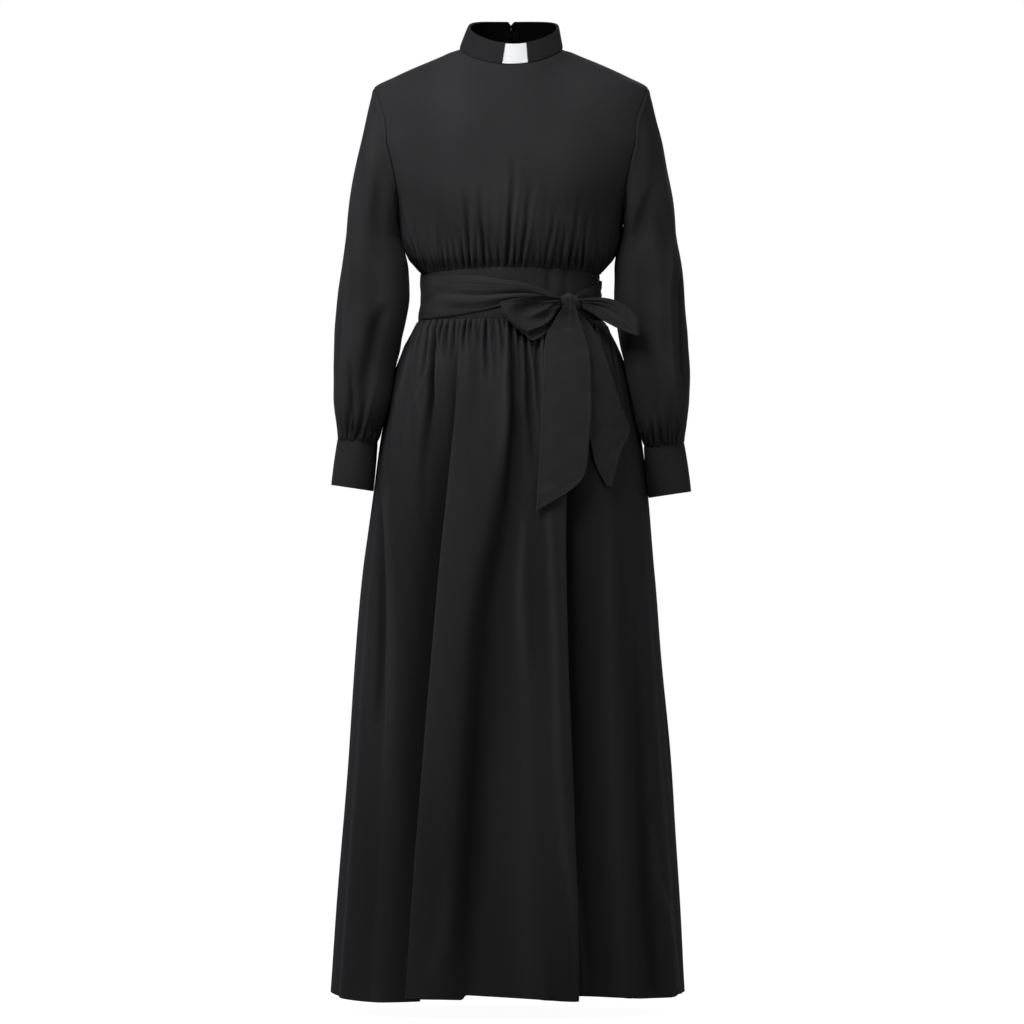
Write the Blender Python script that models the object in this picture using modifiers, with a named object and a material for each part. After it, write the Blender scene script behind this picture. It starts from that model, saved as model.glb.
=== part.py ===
"""Clergy dress, built from the pieces that a maker cuts and sews, in metres.

The dress is filled out as when it is worn. The wearer faces -Y, +X is the wearer's left, and the cloth hangs
along -Z from the origin, which lies between the shoulder seams at the base of the neck.
"""

import math
import random

import bmesh
import bpy
from mathutils import Matrix, Vector

# Walls and gaps
CLOTH = 0.0015
BOW_WALL = 0.0012
BAND = 0.0022
COLLAR_WALL = 0.0034
POCKET = 0.0014
TAB_WALL = 0.0008
SEAM_GAP = 0.0003
# Where two walls meet at a slope, their corners reach past the seam line, so the seam opens by this much more
SLOPE_GAP = 0.0003

# Heights of the seams
NECK_POINT_Z = 0.004
SHOULDER_POINT_Z = -0.052
UNDERARM_Z = -0.245
WAIST_TOP_FRONT_Z = -0.3085
WAIST_TOP_SIDE_Z = -0.3180
WAIST_TOP_BACK_Z = -0.3145
WAIST_BOTTOM_Z = -0.3850
HEM_Z = -1.3460

# The neck seam is highest at the sides and dips towards the front: its slope, and how much it bows
NECK_HALF = 0.0727
NECK_SLOPE = 0.0155
NECK_BOW = 0.0095

# Reaches of the armhole from the shoulder seam
SHOULDER_HALF = 0.1955
ARMHOLE_REACH = {"front": 0.066, "back": 0.062}

# Gathers along each seam, and how far they run into the cloth
BODICE_FRONT_GATHERS = 33
BODICE_BACK_GATHERS = 9
SKIRT_FRONT_GATHERS = 26
SKIRT_BACK_GATHERS = 11
CUFF_GATHERS = 16
BODICE_GATHER_HEIGHT = 0.0024
SKIRT_GATHER_HEIGHT = 0.0030
CUFF_GATHER_HEIGHT = 0.0024
BODICE_FRONT_RUNS = (0.03, 0.12)
BODICE_BACK_RUNS = (0.03, 0.10)
SKIRT_RUNS = (0.05, 0.26)
CUFF_RUNS = (0.02, 0.09)
# How uneven the gathers are: the most that one moves along its seam as a share of a step, the least height, the share
# of a crest's height that a trough has, and how strongly short runs outnumber long ones
GATHER_SHIFT = 0.28
GATHER_LEAST = 0.55
TROUGH_SHARE = 0.8
SHORT_RUNS = 1.6
# A gather is pressed flat by its seam, and stands out in full this far from it
PRESSED_SHARE = 0.45
PRESSED_RUN = 0.012

COLOURS = {
    "black_crepe": (0.012, 0.012, 0.014, 1.0),
    "white_tab": (0.90, 0.90, 0.92, 1.0),
    "black_metal": (0.02, 0.02, 0.02, 1.0),
}


def smooth(t):
    """0 below 0, 1 above 1, and an S-curve between."""
    t = min(1.0, max(0.0, t))
    return t * t * (3 - 2 * t)


def mix(a, b, t):
    return a + (b - a) * t


class Sections:
    """A short table with named columns, read between its rows by a cubic that never overshoots them."""

    def __init__(self, names, *rows):
        names = names.split()
        rows = sorted(rows)
        self.keys = [row[0] for row in rows]
        self.columns = {name: [row[i] for row in rows] for i, name in enumerate(names)}
        self.slopes = {name: self.slopes_of(values) for name, values in self.columns.items()}

    def slopes_of(self, values):
        steps = [b - a for a, b in zip(self.keys, self.keys[1:])]
        rises = [(b - a) / step for a, b, step in zip(values, values[1:], steps)]
        slopes = [rises[0]]
        for i in range(1, len(rises)):
            before, after = rises[i - 1], rises[i]
            if before * after <= 0:
                slopes.append(0.0)
                continue
            near, far = 2 * steps[i] + steps[i - 1], steps[i] + 2 * steps[i - 1]
            slopes.append((near + far) / (near / before + far / after))
        return slopes + [rises[-1]]

    def at(self, name, key):
        keys, values, slopes = self.keys, self.columns[name], self.slopes[name]
        if key <= keys[0]:
            return values[0]
        if key >= keys[-1]:
            return values[-1]
        i = max(n for n, k in enumerate(keys) if k <= key)
        step = keys[i + 1] - keys[i]
        t = (key - keys[i]) / step
        start = (1 + 2 * t) * (1 - t) ** 2 * values[i] + t * (1 - t) ** 2 * step * slopes[i]
        end = t * t * (3 - 2 * t) * values[i + 1] - t * t * (1 - t) * step * slopes[i + 1]
        return start + end


# The body of the dress, level by level: half width, reach to the front and to the back, and how square it is
TORSO = Sections(
    "z half_width front back square",
    (0.012, NECK_HALF, 0.0520, 0.0520, 2.10),
    (NECK_POINT_Z, NECK_HALF, 0.0520, 0.0520, 2.10),
    (-0.002, 0.0885, 0.0532, 0.0547, 1.95),
    (-0.0075, 0.1008, 0.0555, 0.0575, 1.85),
    (-0.0245, 0.1412, 0.0640, 0.0665, 1.95),
    (-0.036, 0.1660, 0.0700, 0.0715, 2.05),
    (SHOULDER_POINT_Z, SHOULDER_HALF, 0.0790, 0.0790, 2.20),
    (-0.083, 0.2050, 0.0920, 0.0880, 2.35),
    (-0.126, 0.2065, 0.1035, 0.0945, 2.45),
    (-0.148, 0.1985, 0.1080, 0.0965, 2.50),
    (-0.180, 0.1845, 0.1135, 0.0980, 2.45),
    (-0.215, 0.1690, 0.1170, 0.0980, 2.35),
    (UNDERARM_Z, 0.1610, 0.1175, 0.0965, 2.30),
    (-0.265, 0.1570, 0.1160, 0.0955, 2.25),
    (-0.282, 0.1515, 0.1130, 0.0945, 2.20),
    (-0.296, 0.1455, 0.1070, 0.0930, 2.15),
    (WAIST_TOP_FRONT_Z, 0.1375, 0.0980, 0.0905, 2.10),
    (WAIST_TOP_SIDE_Z, 0.1312, 0.0965, 0.0885, 2.10),
)

WAIST = Sections(
    "z half_width front back square",
    (WAIST_TOP_FRONT_Z, 0.1262, 0.0955, 0.0865, 2.10),
    (-0.3450, 0.1250, 0.0950, 0.0860, 2.10),
    (WAIST_BOTTOM_Z, 0.1290, 0.0965, 0.0880, 2.10),
)

SKIRT = Sections(
    "z half_width front back square middle",
    (WAIST_BOTTOM_Z, 0.1318, 0.0985, 0.0895, 2.10, 0.0000),
    (-0.392, 0.1368, 0.1010, 0.0930, 2.10, 0.0000),
    (-0.402, 0.1420, 0.1040, 0.0970, 2.10, 0.0000),
    (-0.421, 0.1520, 0.1100, 0.1060, 2.10, 0.0000),
    (-0.452, 0.1640, 0.1190, 0.1180, 2.08, 0.0000),
    (-0.481, 0.1715, 0.1260, 0.1260, 2.05, 0.0000),
    (-0.521, 0.1790, 0.1330, 0.1340, 2.02, 0.0000),
    (-0.555, 0.1845, 0.1385, 0.1400, 2.00, 0.0000),
    (-0.623, 0.1940, 0.1470, 0.1490, 2.00, -0.0004),
    (-0.741, 0.2075, 0.1590, 0.1620, 2.00, -0.0030),
    (-0.860, 0.2170, 0.1700, 0.1730, 2.00, -0.0035),
    (-1.000, 0.2275, 0.1810, 0.1840, 2.00, -0.0035),
    (-1.150, 0.2395, 0.1915, 0.1950, 2.00, -0.0035),
    (HEM_Z, 0.2522, 0.2050, 0.2100, 2.00, -0.0048),
)

# Long folds of the skirt at the hem, by angle from the front centre: how far out, how far they lean sideways, and
# how far the hem rises there
HEM_FOLDS = Sections(
    "angle out lean rise",
    (-180, 0.000, 0.000, 0.000),
    (-168, 0.012, 0.000, -0.002),
    (-153, -0.010, 0.000, 0.002),
    (-137, 0.014, 0.004, -0.003),
    (-121, -0.009, 0.000, 0.002),
    (-106, 0.008, 0.000, -0.001),
    (-90, 0.000, 0.000, 0.000),
    (-76, -0.003, 0.000, -0.002),
    (-64, 0.008, 0.000, -0.004),
    (-53, -0.005, 0.000, -0.007),
    (-45, 0.006, 0.006, -0.006),
    (-36, -0.015, 0.018, -0.004),
    (-27, 0.018, -0.022, 0.002),
    (-11, -0.006, 0.000, 0.006),
    (7, 0.006, 0.003, 0.003),
    (18, 0.015, 0.014, -0.001),
    (28, -0.016, -0.014, 0.004),
    (40, 0.008, 0.000, 0.001),
    (52, -0.005, 0.000, -0.002),
    (63, 0.007, 0.000, -0.002),
    (77, -0.003, 0.000, 0.000),
    (90, 0.000, 0.000, 0.002),
    (104, 0.009, 0.000, -0.002),
    (119, -0.010, 0.000, 0.002),
    (135, 0.013, -0.004, -0.003),
    (150, -0.008, 0.000, 0.002),
    (166, 0.011, 0.000, -0.002),
    (180, 0.000, 0.000, 0.000),
)
FOLD_START_Z = -0.400
FOLD_GROWTH = 0.9

# Sleeve rings below the cap: inner and outer edge measured from the middle of the dress, and depth
SLEEVE = Sections(
    "z inner outer half_depth middle_y",
    (-0.262, 0.1592, 0.2362, 0.0600, -0.002),
    (-0.309, 0.1475, 0.2424, 0.0600, -0.004),
    (-0.343, 0.1470, 0.2462, 0.0590, -0.005),
    (-0.378, 0.1505, 0.2488, 0.0585, -0.006),
    (-0.412, 0.1560, 0.2520, 0.0580, -0.007),
    (-0.463, 0.1640, 0.2548, 0.0575, -0.008),
    (-0.498, 0.1705, 0.2548, 0.0560, -0.009),
    (-0.515, 0.1760, 0.2535, 0.0540, -0.009),
    (-0.532, 0.1815, 0.2508, 0.0490, -0.009),
    (-0.545, 0.1870, 0.2478, 0.0420, -0.009),
    (-0.555, 0.1915, 0.2462, 0.0365, -0.009),
)
SLEEVE_SQUARE = 2.5
SLEEVE_TILT = 0.10
CUFF_TILT = 0.15
CUFF_SHIFT = 0.0080
CUFF_HALF = {"top": (0.0276, 0.0365), "bottom": (0.0296, 0.0385)}
# Above this height the armhole is open under the sleeve's cap. Just under the underarm the sleeve lies along the
# bodice, and it is fully clear of the dress this far below
CAP_FREE_Z = -0.110
SLEEVE_CLEARANCE = 0.0050
UNDERARM_CLEARANCE = 0.0021
CLEARANCE_RUN = 0.06
ARMHOLE_GAP = 0.0009
SEAM_OUT = Vector((0.94, 0.0, -0.34))
UNDERARM_OUT = Vector((1.0, 0.0, 0.0))
# The sleeve's top leaves the armhole along these directions, on the shoulder and in the underarm
LEAD_SHOULDER = Vector((0.30, 0.0, -0.95))
LEAD_UNDERARM = Vector((0.90, 0.0, -0.40))
LEAD_AROUND = 0.15
LEAD_DOWN = Vector((0.06, 0.0, -1.0))
LEAD_OUT_SHARE, LEAD_DOWN_SHARE = 0.5, 0.8
UNDERARM_SHARE = 0.55
SLEEVE_TOP_Z = -0.262
SLEEVE_END_Z = -0.555
CAP_STEPS = (0.0, 0.10, 0.28, 0.50, 0.74, 1.0)
SLEEVE_RING_ZS = (-0.310, -0.360, -0.402, -0.432, -0.462, -0.498, -0.524, -0.541, SLEEVE_END_Z)
CUFF_COLUMNS = 20
# The left sleeve hangs a little lower than the right one, and its cuff shows more of its depth
SIDES = {"left": {"x": 1, "drop": 0.0060, "cuff": 0.0725}, "right": {"x": -1, "drop": 0.0, "cuff": 0.0690}}

# The sash by angle from the front centre: its middle height, half its width, and how deep its pleats are
SASH = Sections(
    "angle middle half_width pleat",
    (-310.0, -0.3565, 0.0090, 0.0006),
    (-297.0, -0.3570, 0.0230, 0.0010),
    (-270.0, -0.3570, 0.0264, 0.0008),
    (-180.0, -0.3518, 0.0314, 0.0006),
    (-90.0, -0.3520, 0.0325, 0.0008),
    (-50.0, -0.3490, 0.0300, 0.0012),
    (-22.0, -0.3462, 0.0262, 0.0014),
    (-7.0, -0.3462, 0.0195, 0.0014),
    (7.0, -0.3482, 0.0158, 0.0012),
    (19.0, -0.3515, 0.0108, 0.0010),
    (29.0, -0.3560, 0.0075, 0.0006),
)
SASH_START, SASH_END, SASH_COLUMNS = -309.0, 28.5, 32
SASH_OFFSET = 0.0036
SASH_PLEATS = ((-1.0, 0.0), (-0.66, 0.7), (-0.38, -0.7), (-0.05, 0.8), (0.22, -0.8), (0.60, 0.6), (1.0, 0.0))

# The bow, seen from the front: the two edges of each strip of cloth, and how far it stands off the dress
BOW_COLUMNS = "step x_top z_top x_low z_low lift"
LOOP_RIGHT = Sections(
    BOW_COLUMNS,
    (0, 0.0628, -0.3500, 0.0628, -0.3620, 0.0114),
    (1, 0.0440, -0.3480, 0.0520, -0.3730, 0.0160),
    (2, 0.0130, -0.3540, 0.0380, -0.3850, 0.0205),
    (3, -0.0065, -0.3575, 0.0220, -0.3930, 0.0200),
    (4, -0.0145, -0.3600, 0.0120, -0.3975, 0.0145),
    (5, -0.0110, -0.3625, 0.0200, -0.4060, 0.0095),
    (6, 0.0060, -0.3630, 0.0315, -0.4115, 0.0075),
    (7, 0.0330, -0.3590, 0.0470, -0.3935, 0.0072),
    (8, 0.0606, -0.3560, 0.0626, -0.3680, 0.0078),
)
LOOP_LEFT = Sections(
    BOW_COLUMNS,
    (0, 0.1000, -0.3540, 0.1000, -0.3640, 0.0140),
    (1, 0.1230, -0.3515, 0.1210, -0.3750, 0.0170),
    (2, 0.1460, -0.3535, 0.1400, -0.3880, 0.0200),
    (3, 0.1680, -0.3650, 0.1590, -0.3970, 0.0190),
    (4, 0.1810, -0.3820, 0.1740, -0.4030, 0.0140),
    (5, 0.1700, -0.3720, 0.1640, -0.3990, 0.0095),
    (6, 0.1430, -0.3590, 0.1390, -0.3850, 0.0080),
    (7, 0.1006, -0.3570, 0.1006, -0.3670, 0.0098),
)
TAIL_FRONT = Sections(
    BOW_COLUMNS,
    (0, 0.0730, -0.3690, 0.0925, -0.3690, 0.0112),
    (1, 0.0630, -0.3865, 0.1010, -0.3865, 0.0126),
    (2, 0.0515, -0.4080, 0.1088, -0.4094, 0.0120),
    (3, 0.0487, -0.4266, 0.1131, -0.4337, 0.0120),
    (4, 0.0465, -0.4695, 0.1145, -0.4767, 0.0120),
    (5, 0.0451, -0.5125, 0.1131, -0.5196, 0.0120),
    (6, 0.0429, -0.5554, 0.1102, -0.5554, 0.0120),
    (7, 0.0394, -0.6127, 0.1074, -0.5812, 0.0120),
    (8, 0.0358, -0.6570, 0.1002, -0.6055, 0.0120),
)
TAIL_BACK = Sections(
    BOW_COLUMNS,
    (0, 0.0760, -0.3680, 0.0920, -0.3671, 0.0046),
    (1, 0.0873, -0.4120, 0.1231, -0.4094, 0.0080),
    (2, 0.0930, -0.4695, 0.1446, -0.4695, 0.0082),
    (3, 0.1030, -0.5196, 0.1589, -0.5139, 0.0080),
    (4, 0.1117, -0.5554, 0.1689, -0.5411, 0.0078),
    (5, 0.1188, -0.5883, 0.1546, -0.5755, 0.0078),
    (6, 0.1360, -0.6227, 0.1431, -0.6213, 0.0078),
)
STRIP_COLUMNS = 5
MOST_SHARE = 0.93
LOOP_MOST_SHARE = 0.72

KNOT_X = 0.0815
KNOT_Z = -0.3570
KNOT_LIFT = 0.0110
KNOT_HALF = Vector((0.0205, 0.0088, 0.0115))
KNOT_TURN = 8.0
KNOT_RIDGES = 9.0
KNOT_RIDGE_HEIGHT = 0.06

# The slider and the pull tab of the zip, at the middle of the back, by the outer side of the collar
HINGE = Vector((0.0, 0.0560, 0.0300))
SLIDER_PLATE = Vector((0.0050, 0.0010, 0.0090))
SLIDER_PLATE_AT = Vector((0.0, -0.0017, 0.0))
SLIDER_BRIDGE = Vector((0.0020, 0.0033, 0.0058))
SLIDER_BRIDGE_AT = Vector((0.0, 0.00015, -0.0003))
BAR_HOLE = 0.0010
PULL_HALF_THICKNESS = 0.0005
PULL_LENGTH = 0.0165
PULL_HALF = {"top": 0.0023, "bottom": 0.0030}
PULL_WINDOW = {"half": 0.0015, "top": -0.0005, "bottom": -0.0046}
METAL_BEVEL = 0.00015

# The collar, by angle from the front centre
COLLAR_TOP_HALF = 0.0634
COLLAR_TOP_REACH = {"front": 0.0545, "back": 0.0512}
COLLAR_TOP_SHIFT = 0.0036
COLLAR_TOP_Z = 0.036
COLLAR_TOP_SLOPE = 0.0185
COLLAR_TOP_BOW = 0.0085
COLLAR_COLUMNS = 15
NOTCH_HALF = 0.0045
NOTCH_DEPTH = 0.0060
NOTCH_COLUMNS = (NOTCH_HALF, 0.0030, 0.0015, 0.0)
# How far the collar's base stands above the neck seam, as a share of half the cloth's wall: in the middle and at the sides
COLLAR_BASE_SHARE = {"middle": 0.5, "side": 0.95}
# Angles of the collar ends beside the white tab, at the bottom and at the top
COLLAR_ENDS = {"left": (19.3, 16.6), "right": (-10.1, -10.8)}
# The share of the collar's length that the notch takes, and how far the pocket for the tab reaches past each edge
NOTCH_SHARE = 0.024
POCKET_PAST = 4.0
POCKET_ANGLE = 8.0
TAB_WING_ANGLE = 6.5


def outline(table, angle, z):
    """Point and outward direction of a level's outline, at an angle in degrees from the front centre."""
    side, front = math.sin(math.radians(angle)), math.cos(math.radians(angle))
    half_width = table.at("half_width", z)
    reach = table.at("front" if front > 0 else "back", z)
    power = table.at("square", z)
    x = math.copysign(abs(side) ** (2 / power), side) * half_width
    y = -math.copysign(abs(front) ** (2 / power), front) * reach
    across = math.copysign((abs(x) / half_width) ** (power - 1) / half_width, x)
    along = math.copysign((abs(y) / reach) ** (power - 1) / reach, y)
    return Vector((x, y, z)), Vector((across, along, 0)).normalized()


def torso(x, z, side):
    """Point and outward direction of the front or back of the body of the dress at a width and a height."""
    half_width = TORSO.at("half_width", z)
    reach = TORSO.at(side, z)
    power = TORSO.at("square", z)
    share = min(1.0, abs(x) / half_width)
    depth = (1 - share**power) ** (1 / power)
    sign = -1 if side == "front" else 1
    across = math.copysign(share ** (power - 1) / half_width, x)
    along = sign * depth ** (power - 1) / reach
    return Vector((x, sign * depth * reach, z)), Vector((across, along, 0)).normalized()


def neckline(angle):
    """The neck seam, at an angle in degrees from the front centre: it dips at the front."""
    side, front = math.sin(math.radians(angle)), math.cos(math.radians(angle))
    z = NECK_POINT_Z - NECK_SLOPE * front - NECK_BOW * front * front
    return torso(NECK_HALF * side, z, "front" if front > 0 else "back")[0]


def ridge_z(x):
    """Height of the shoulder seam at a distance from the middle."""
    low, high = SHOULDER_POINT_Z, NECK_POINT_Z
    for _ in range(40):
        z = (low + high) / 2
        low, high = (low, z) if TORSO.at("half_width", z) < x else (z, high)
    return z


def waist_top(angle):
    """Height of the seam between the bodice and the waistband."""
    side, front = math.sin(math.radians(angle)), math.cos(math.radians(angle))
    middle = WAIST_TOP_FRONT_Z if front > 0 else WAIST_TOP_BACK_Z
    return mix(middle, WAIST_TOP_SIDE_Z, side * side)


def armhole(turn, side):
    """The armhole seam, from the shoulder point at turn 0 to the underarm at turn 1, on +X."""
    middle, half = (SHOULDER_POINT_Z + UNDERARM_Z) / 2, (SHOULDER_POINT_Z - UNDERARM_Z) / 2
    z = middle + half * math.cos(math.pi * turn)
    y = ARMHOLE_REACH[side] * math.sin(math.pi * turn)
    power = TORSO.at("square", z)
    x = TORSO.at("half_width", z) * (1 - (y / TORSO.at(side, z)) ** power) ** (1 / power)
    return Vector((x, -y if side == "front" else y, z))


class Gathers:
    """Uneven gathers along a seam: crests and troughs in turn, each with its own height and reach."""

    def __init__(self, count, start, end, seed, reach):
        draw = random.Random(seed)
        steps = 2 * count
        self.columns = []
        for i in range(steps + 1):
            inside = 0 < i < steps
            shift = draw.uniform(-GATHER_SHIFT, GATHER_SHIFT) if inside else 0
            height = draw.uniform(GATHER_LEAST, 1.0) * (1 if i % 2 else -TROUGH_SHARE) if inside else 0
            run = mix(reach[0], reach[1], draw.random() ** SHORT_RUNS)
            self.columns.append((mix(start, end, (i + shift) / steps), height, run))


def gather_height(height, run, away):
    """How far a gather stands out, at a distance away from its seam."""
    return height * mix(PRESSED_SHARE, 1.0, smooth(away / PRESSED_RUN)) * (1 - smooth(away / run))


# How the bodice panels are laid out: columns run from the neck and shoulder to the waist, rows run across
NECK_COLUMNS = 0.36
ARMHOLE_SHARE = 0.66
ARMHOLE_ROWS = 8
BODICE_ROWS = [ARMHOLE_SHARE * i / ARMHOLE_ROWS for i in range(ARMHOLE_ROWS + 1)]
BODICE_ROWS += [mix(ARMHOLE_SHARE, 1.0, step) for step in (0.35, 0.62, 0.84, 1.0)]
# A column of the bodice runs from its place on the neck or shoulder to its place on the waist over this share of the rows
COLUMN_TURN_SHARE = 0.5


def bodice_edge(row, side):
    """The outer edge of a bodice panel: down the armhole, then down the side seam."""
    if row <= ARMHOLE_SHARE:
        return armhole(row / ARMHOLE_SHARE, side)
    z = mix(UNDERARM_Z, WAIST_TOP_SIDE_Z, (row - ARMHOLE_SHARE) / (1 - ARMHOLE_SHARE))
    return torso(TORSO.at("half_width", z), z, side)[0]


def bodice_top(column, side):
    """The upper edge of a bodice panel: along the neck seam, then along the shoulder seam."""
    share = abs(column)
    if share <= NECK_COLUMNS:
        turn = 90 * share / NECK_COLUMNS
        point = neckline(turn if side == "front" else 180 - turn)
        return point.x, point.z
    x = mix(NECK_HALF, SHOULDER_HALF, (share - NECK_COLUMNS) / (1 - NECK_COLUMNS))
    return x, ridge_z(x)


def bodice_place(side):
    def place(column, row):
        across, height, run = column
        share = abs(across)
        top_x, top_z = bodice_top(across, side)
        edge = bodice_edge(row, side)
        bottom_angle = 90 * share if side == "front" else 180 - 90 * share
        bottom_z = waist_top(bottom_angle) + SEAM_GAP
        fall = (edge.z - SHOULDER_POINT_Z) / (WAIST_TOP_SIDE_Z - SHOULDER_POINT_Z)
        z = mix(top_z, bottom_z, fall)
        low_share = math.sin(math.radians(90 * share)) ** (2 / TORSO.at("square", WAIST_TOP_SIDE_Z))
        width = mix(top_x / SHOULDER_HALF, low_share, smooth(row / COLUMN_TURN_SHARE)) * edge.x
        point, out = torso(math.copysign(width, across), z, side)
        point += out * BODICE_GATHER_HEIGHT * gather_height(height, run, z - bottom_z)
        away = -1 if side == "front" else 1
        if row == 0 and share >= NECK_COLUMNS:
            point.y += away * (SEAM_GAP / 2 + SLOPE_GAP)
        if share == 1 and row >= ARMHOLE_SHARE:
            point.y += away * (SEAM_GAP / 2 + SLOPE_GAP / 2)
        if across == 0 and side == "back":
            point.x += SEAM_GAP / 2
        return point

    return place


def mirrored(place):
    def place_mirrored(column, row):
        point = place(column, row)
        return Vector((-point.x, point.y, point.z))

    return place_mirrored


def skirt_point(angle, z, height=0.0, run=0.1):
    """A point of the skirt: its outline, its long folds, and a gather of a given height and run."""
    point, out = outline(SKIRT, angle, z)
    grown = max(0.0, (FOLD_START_Z - z) / (FOLD_START_Z - HEM_Z)) ** FOLD_GROWTH
    sideways = Vector((-out.y, out.x, 0))
    gather = SKIRT_GATHER_HEIGHT * gather_height(height, run, WAIST_BOTTOM_Z - z)
    point += out * (HEM_FOLDS.at("out", angle) * grown + gather)
    point += sideways * HEM_FOLDS.at("lean", angle) * grown
    return point + Vector((SKIRT.at("middle", z), 0, HEM_FOLDS.at("rise", angle) * grown))


SKIRT_FALLS = (0.0, 0.012, 0.030, 0.058, 0.100, 0.165, 0.26, 0.40, 0.62)
SKIRT_ROWS = [WAIST_BOTTOM_Z - SEAM_GAP - SLOPE_GAP - fall for fall in SKIRT_FALLS] + [HEM_Z]


def skirt_place(side):
    def place(column, z):
        angle, height, run = column
        point = skirt_point(angle, z, height, run)
        if abs(angle) == 90:
            point.y += -SEAM_GAP / 2 if side == "front" else SEAM_GAP / 2
        if abs(angle) == 180:
            point.x += math.copysign(SEAM_GAP / 2, angle)
        return point

    return place


def band_place(side):
    def place(angle, drop):
        top = waist_top(angle) - SLOPE_GAP
        point = outline(WAIST, angle, mix(top, WAIST_BOTTOM_Z, drop))[0]
        if abs(angle) == 90:
            point.y += -SEAM_GAP / 2 if side == "front" else SEAM_GAP / 2
        if abs(angle) == 180:
            point.x += math.copysign(SEAM_GAP / 2, angle)
        return point

    return place


def sash_place(angle, row):
    across, pleat = row
    turn = angle + 360 if angle < -180 else angle
    z = SASH.at("middle", angle) + across * SASH.at("half_width", angle)
    point, out = outline(WAIST, turn, z)
    return point + out * (SASH_OFFSET + pleat * SASH.at("pleat", angle))


def over_dress(x, z, lift, most_share):
    """The point that shows at x and z from the front and stands off the waist or the skirt by a lift."""
    table = WAIST if z > WAIST_BOTTOM_Z else SKIRT
    half_width, reach, power = (table.at(name, z) for name in ("half_width", "front", "square"))
    base = x
    for _ in range(6):
        share = min(most_share, max(0.0, base / half_width))
        depth = (1 - share**power) ** (1 / power)
        out = Vector((share ** (power - 1) / half_width, -(depth ** (power - 1)) / reach, 0)).normalized()
        base = x - out.x * lift
    return Vector((x, -depth * reach + out.y * lift, z))


def strip_place(table, most_share):
    """Places a strip of the bow: steps run along it, and across runs from its first edge to its second."""

    def place(across, step):
        x = mix(table.at("x_top", step), table.at("x_low", step), across)
        z = mix(table.at("z_top", step), table.at("z_low", step), across)
        return over_dress(x, z, table.at("lift", step), most_share)

    return place


def collar_angle(side, rise, share):
    """The angle at a share of the way from the collar's end at the front to the middle of the back."""
    start = mix(*COLLAR_ENDS[side], rise)
    return mix(start, 180 * SIDES[side]["x"], share)


def collar_point(angle, rise):
    base = neckline(angle)
    side, front = math.sin(math.radians(angle)), math.cos(math.radians(angle))
    share = mix(COLLAR_BASE_SHARE["middle"], COLLAR_BASE_SHARE["side"], side * side)
    base.z += SEAM_GAP + CLOTH / 2 * share
    reach = COLLAR_TOP_REACH["front" if front > 0 else "back"]
    top_z = COLLAR_TOP_Z - COLLAR_TOP_SLOPE * front - COLLAR_TOP_BOW * front * front
    top = Vector((COLLAR_TOP_HALF * side, -reach * front, top_z))
    top.x += COLLAR_TOP_SHIFT * (1 - max(0.0, -front) ** 4)
    if front < 0:
        top.z -= NOTCH_DEPTH * max(0.0, 1 - abs(top.x) / NOTCH_HALF)
    return base.lerp(top, rise)


def material(name):
    found = bpy.data.materials.get(name)
    if found:
        return found
    made = bpy.data.materials.new(name)
    made.use_nodes = True
    shader = made.node_tree.nodes["Principled BSDF"]
    shader.inputs["Base Color"].default_value = COLOURS[name]
    shader.inputs["Roughness"].default_value = 0.3 if name != "black_crepe" else 0.75
    shader.inputs["Metallic"].default_value = 1.0 if name == "black_metal" else 0.0
    return made


def mesh_from(bm, name):
    mesh = bpy.data.meshes.new(name)
    bm.to_mesh(mesh)
    bm.free()
    return mesh


def add(name, mesh, finish, collection):
    piece = bpy.data.objects.new(name, mesh)
    mesh.materials.append(material(finish))
    mesh.shade_smooth()
    collection.objects.link(piece)
    return piece


def cloth(name, columns, rows, place, collection, wall=CLOTH, finish="black_crepe", closed=False):
    """A wall of cloth: a grid whose points are put in place, given its thickness to both sides."""
    bm = bmesh.new()
    across, down = len(columns) - 1, len(rows) - 1
    bmesh.ops.create_grid(bm, x_segments=across, y_segments=down, size=0.5)
    for vert in bm.verts:
        column = columns[round((vert.co.x + 0.5) * across)]
        row = rows[round((vert.co.y + 0.5) * down)]
        vert.co = place(column, row)
    if closed:
        bmesh.ops.remove_doubles(bm, verts=bm.verts, dist=1e-5)
    piece = add(name, mesh_from(bm, name), finish, collection)
    solidify = piece.modifiers.new("Wall", "SOLIDIFY")
    solidify.thickness = wall
    solidify.offset = 0
    return piece


def armhole_polygon(turn, side):
    """The armhole seam as the straight runs between the bodice's points, which the sleeve's top follows."""
    spot = min(ARMHOLE_ROWS - 1, int(turn * ARMHOLE_ROWS))
    first, second = (armhole(i / ARMHOLE_ROWS, side) for i in (spot, spot + 1))
    return first.lerp(second, turn * ARMHOLE_ROWS - spot)


def clear_of_body(point):
    """Moves a point of the left sleeve outwards, so that it is clear of the bodice, the sash and the skirt."""
    if point.z > CAP_FREE_Z:
        return point
    if point.z > WAIST_TOP_SIDE_Z:
        table = TORSO
    else:
        table = WAIST if point.z > WAIST_BOTTOM_Z else SKIRT
    clearance = mix(UNDERARM_CLEARANCE, SLEEVE_CLEARANCE, smooth((UNDERARM_Z - point.z) / CLEARANCE_RUN))
    half_width = table.at("half_width", point.z) + clearance
    reach = table.at("front" if point.y < 0 else "back", point.z) + clearance
    power = table.at("square", point.z)
    share = abs(point.y) / reach
    if share < 1:
        point.x = max(point.x, half_width * (1 - share**power) ** (1 / power))
    return point


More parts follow.
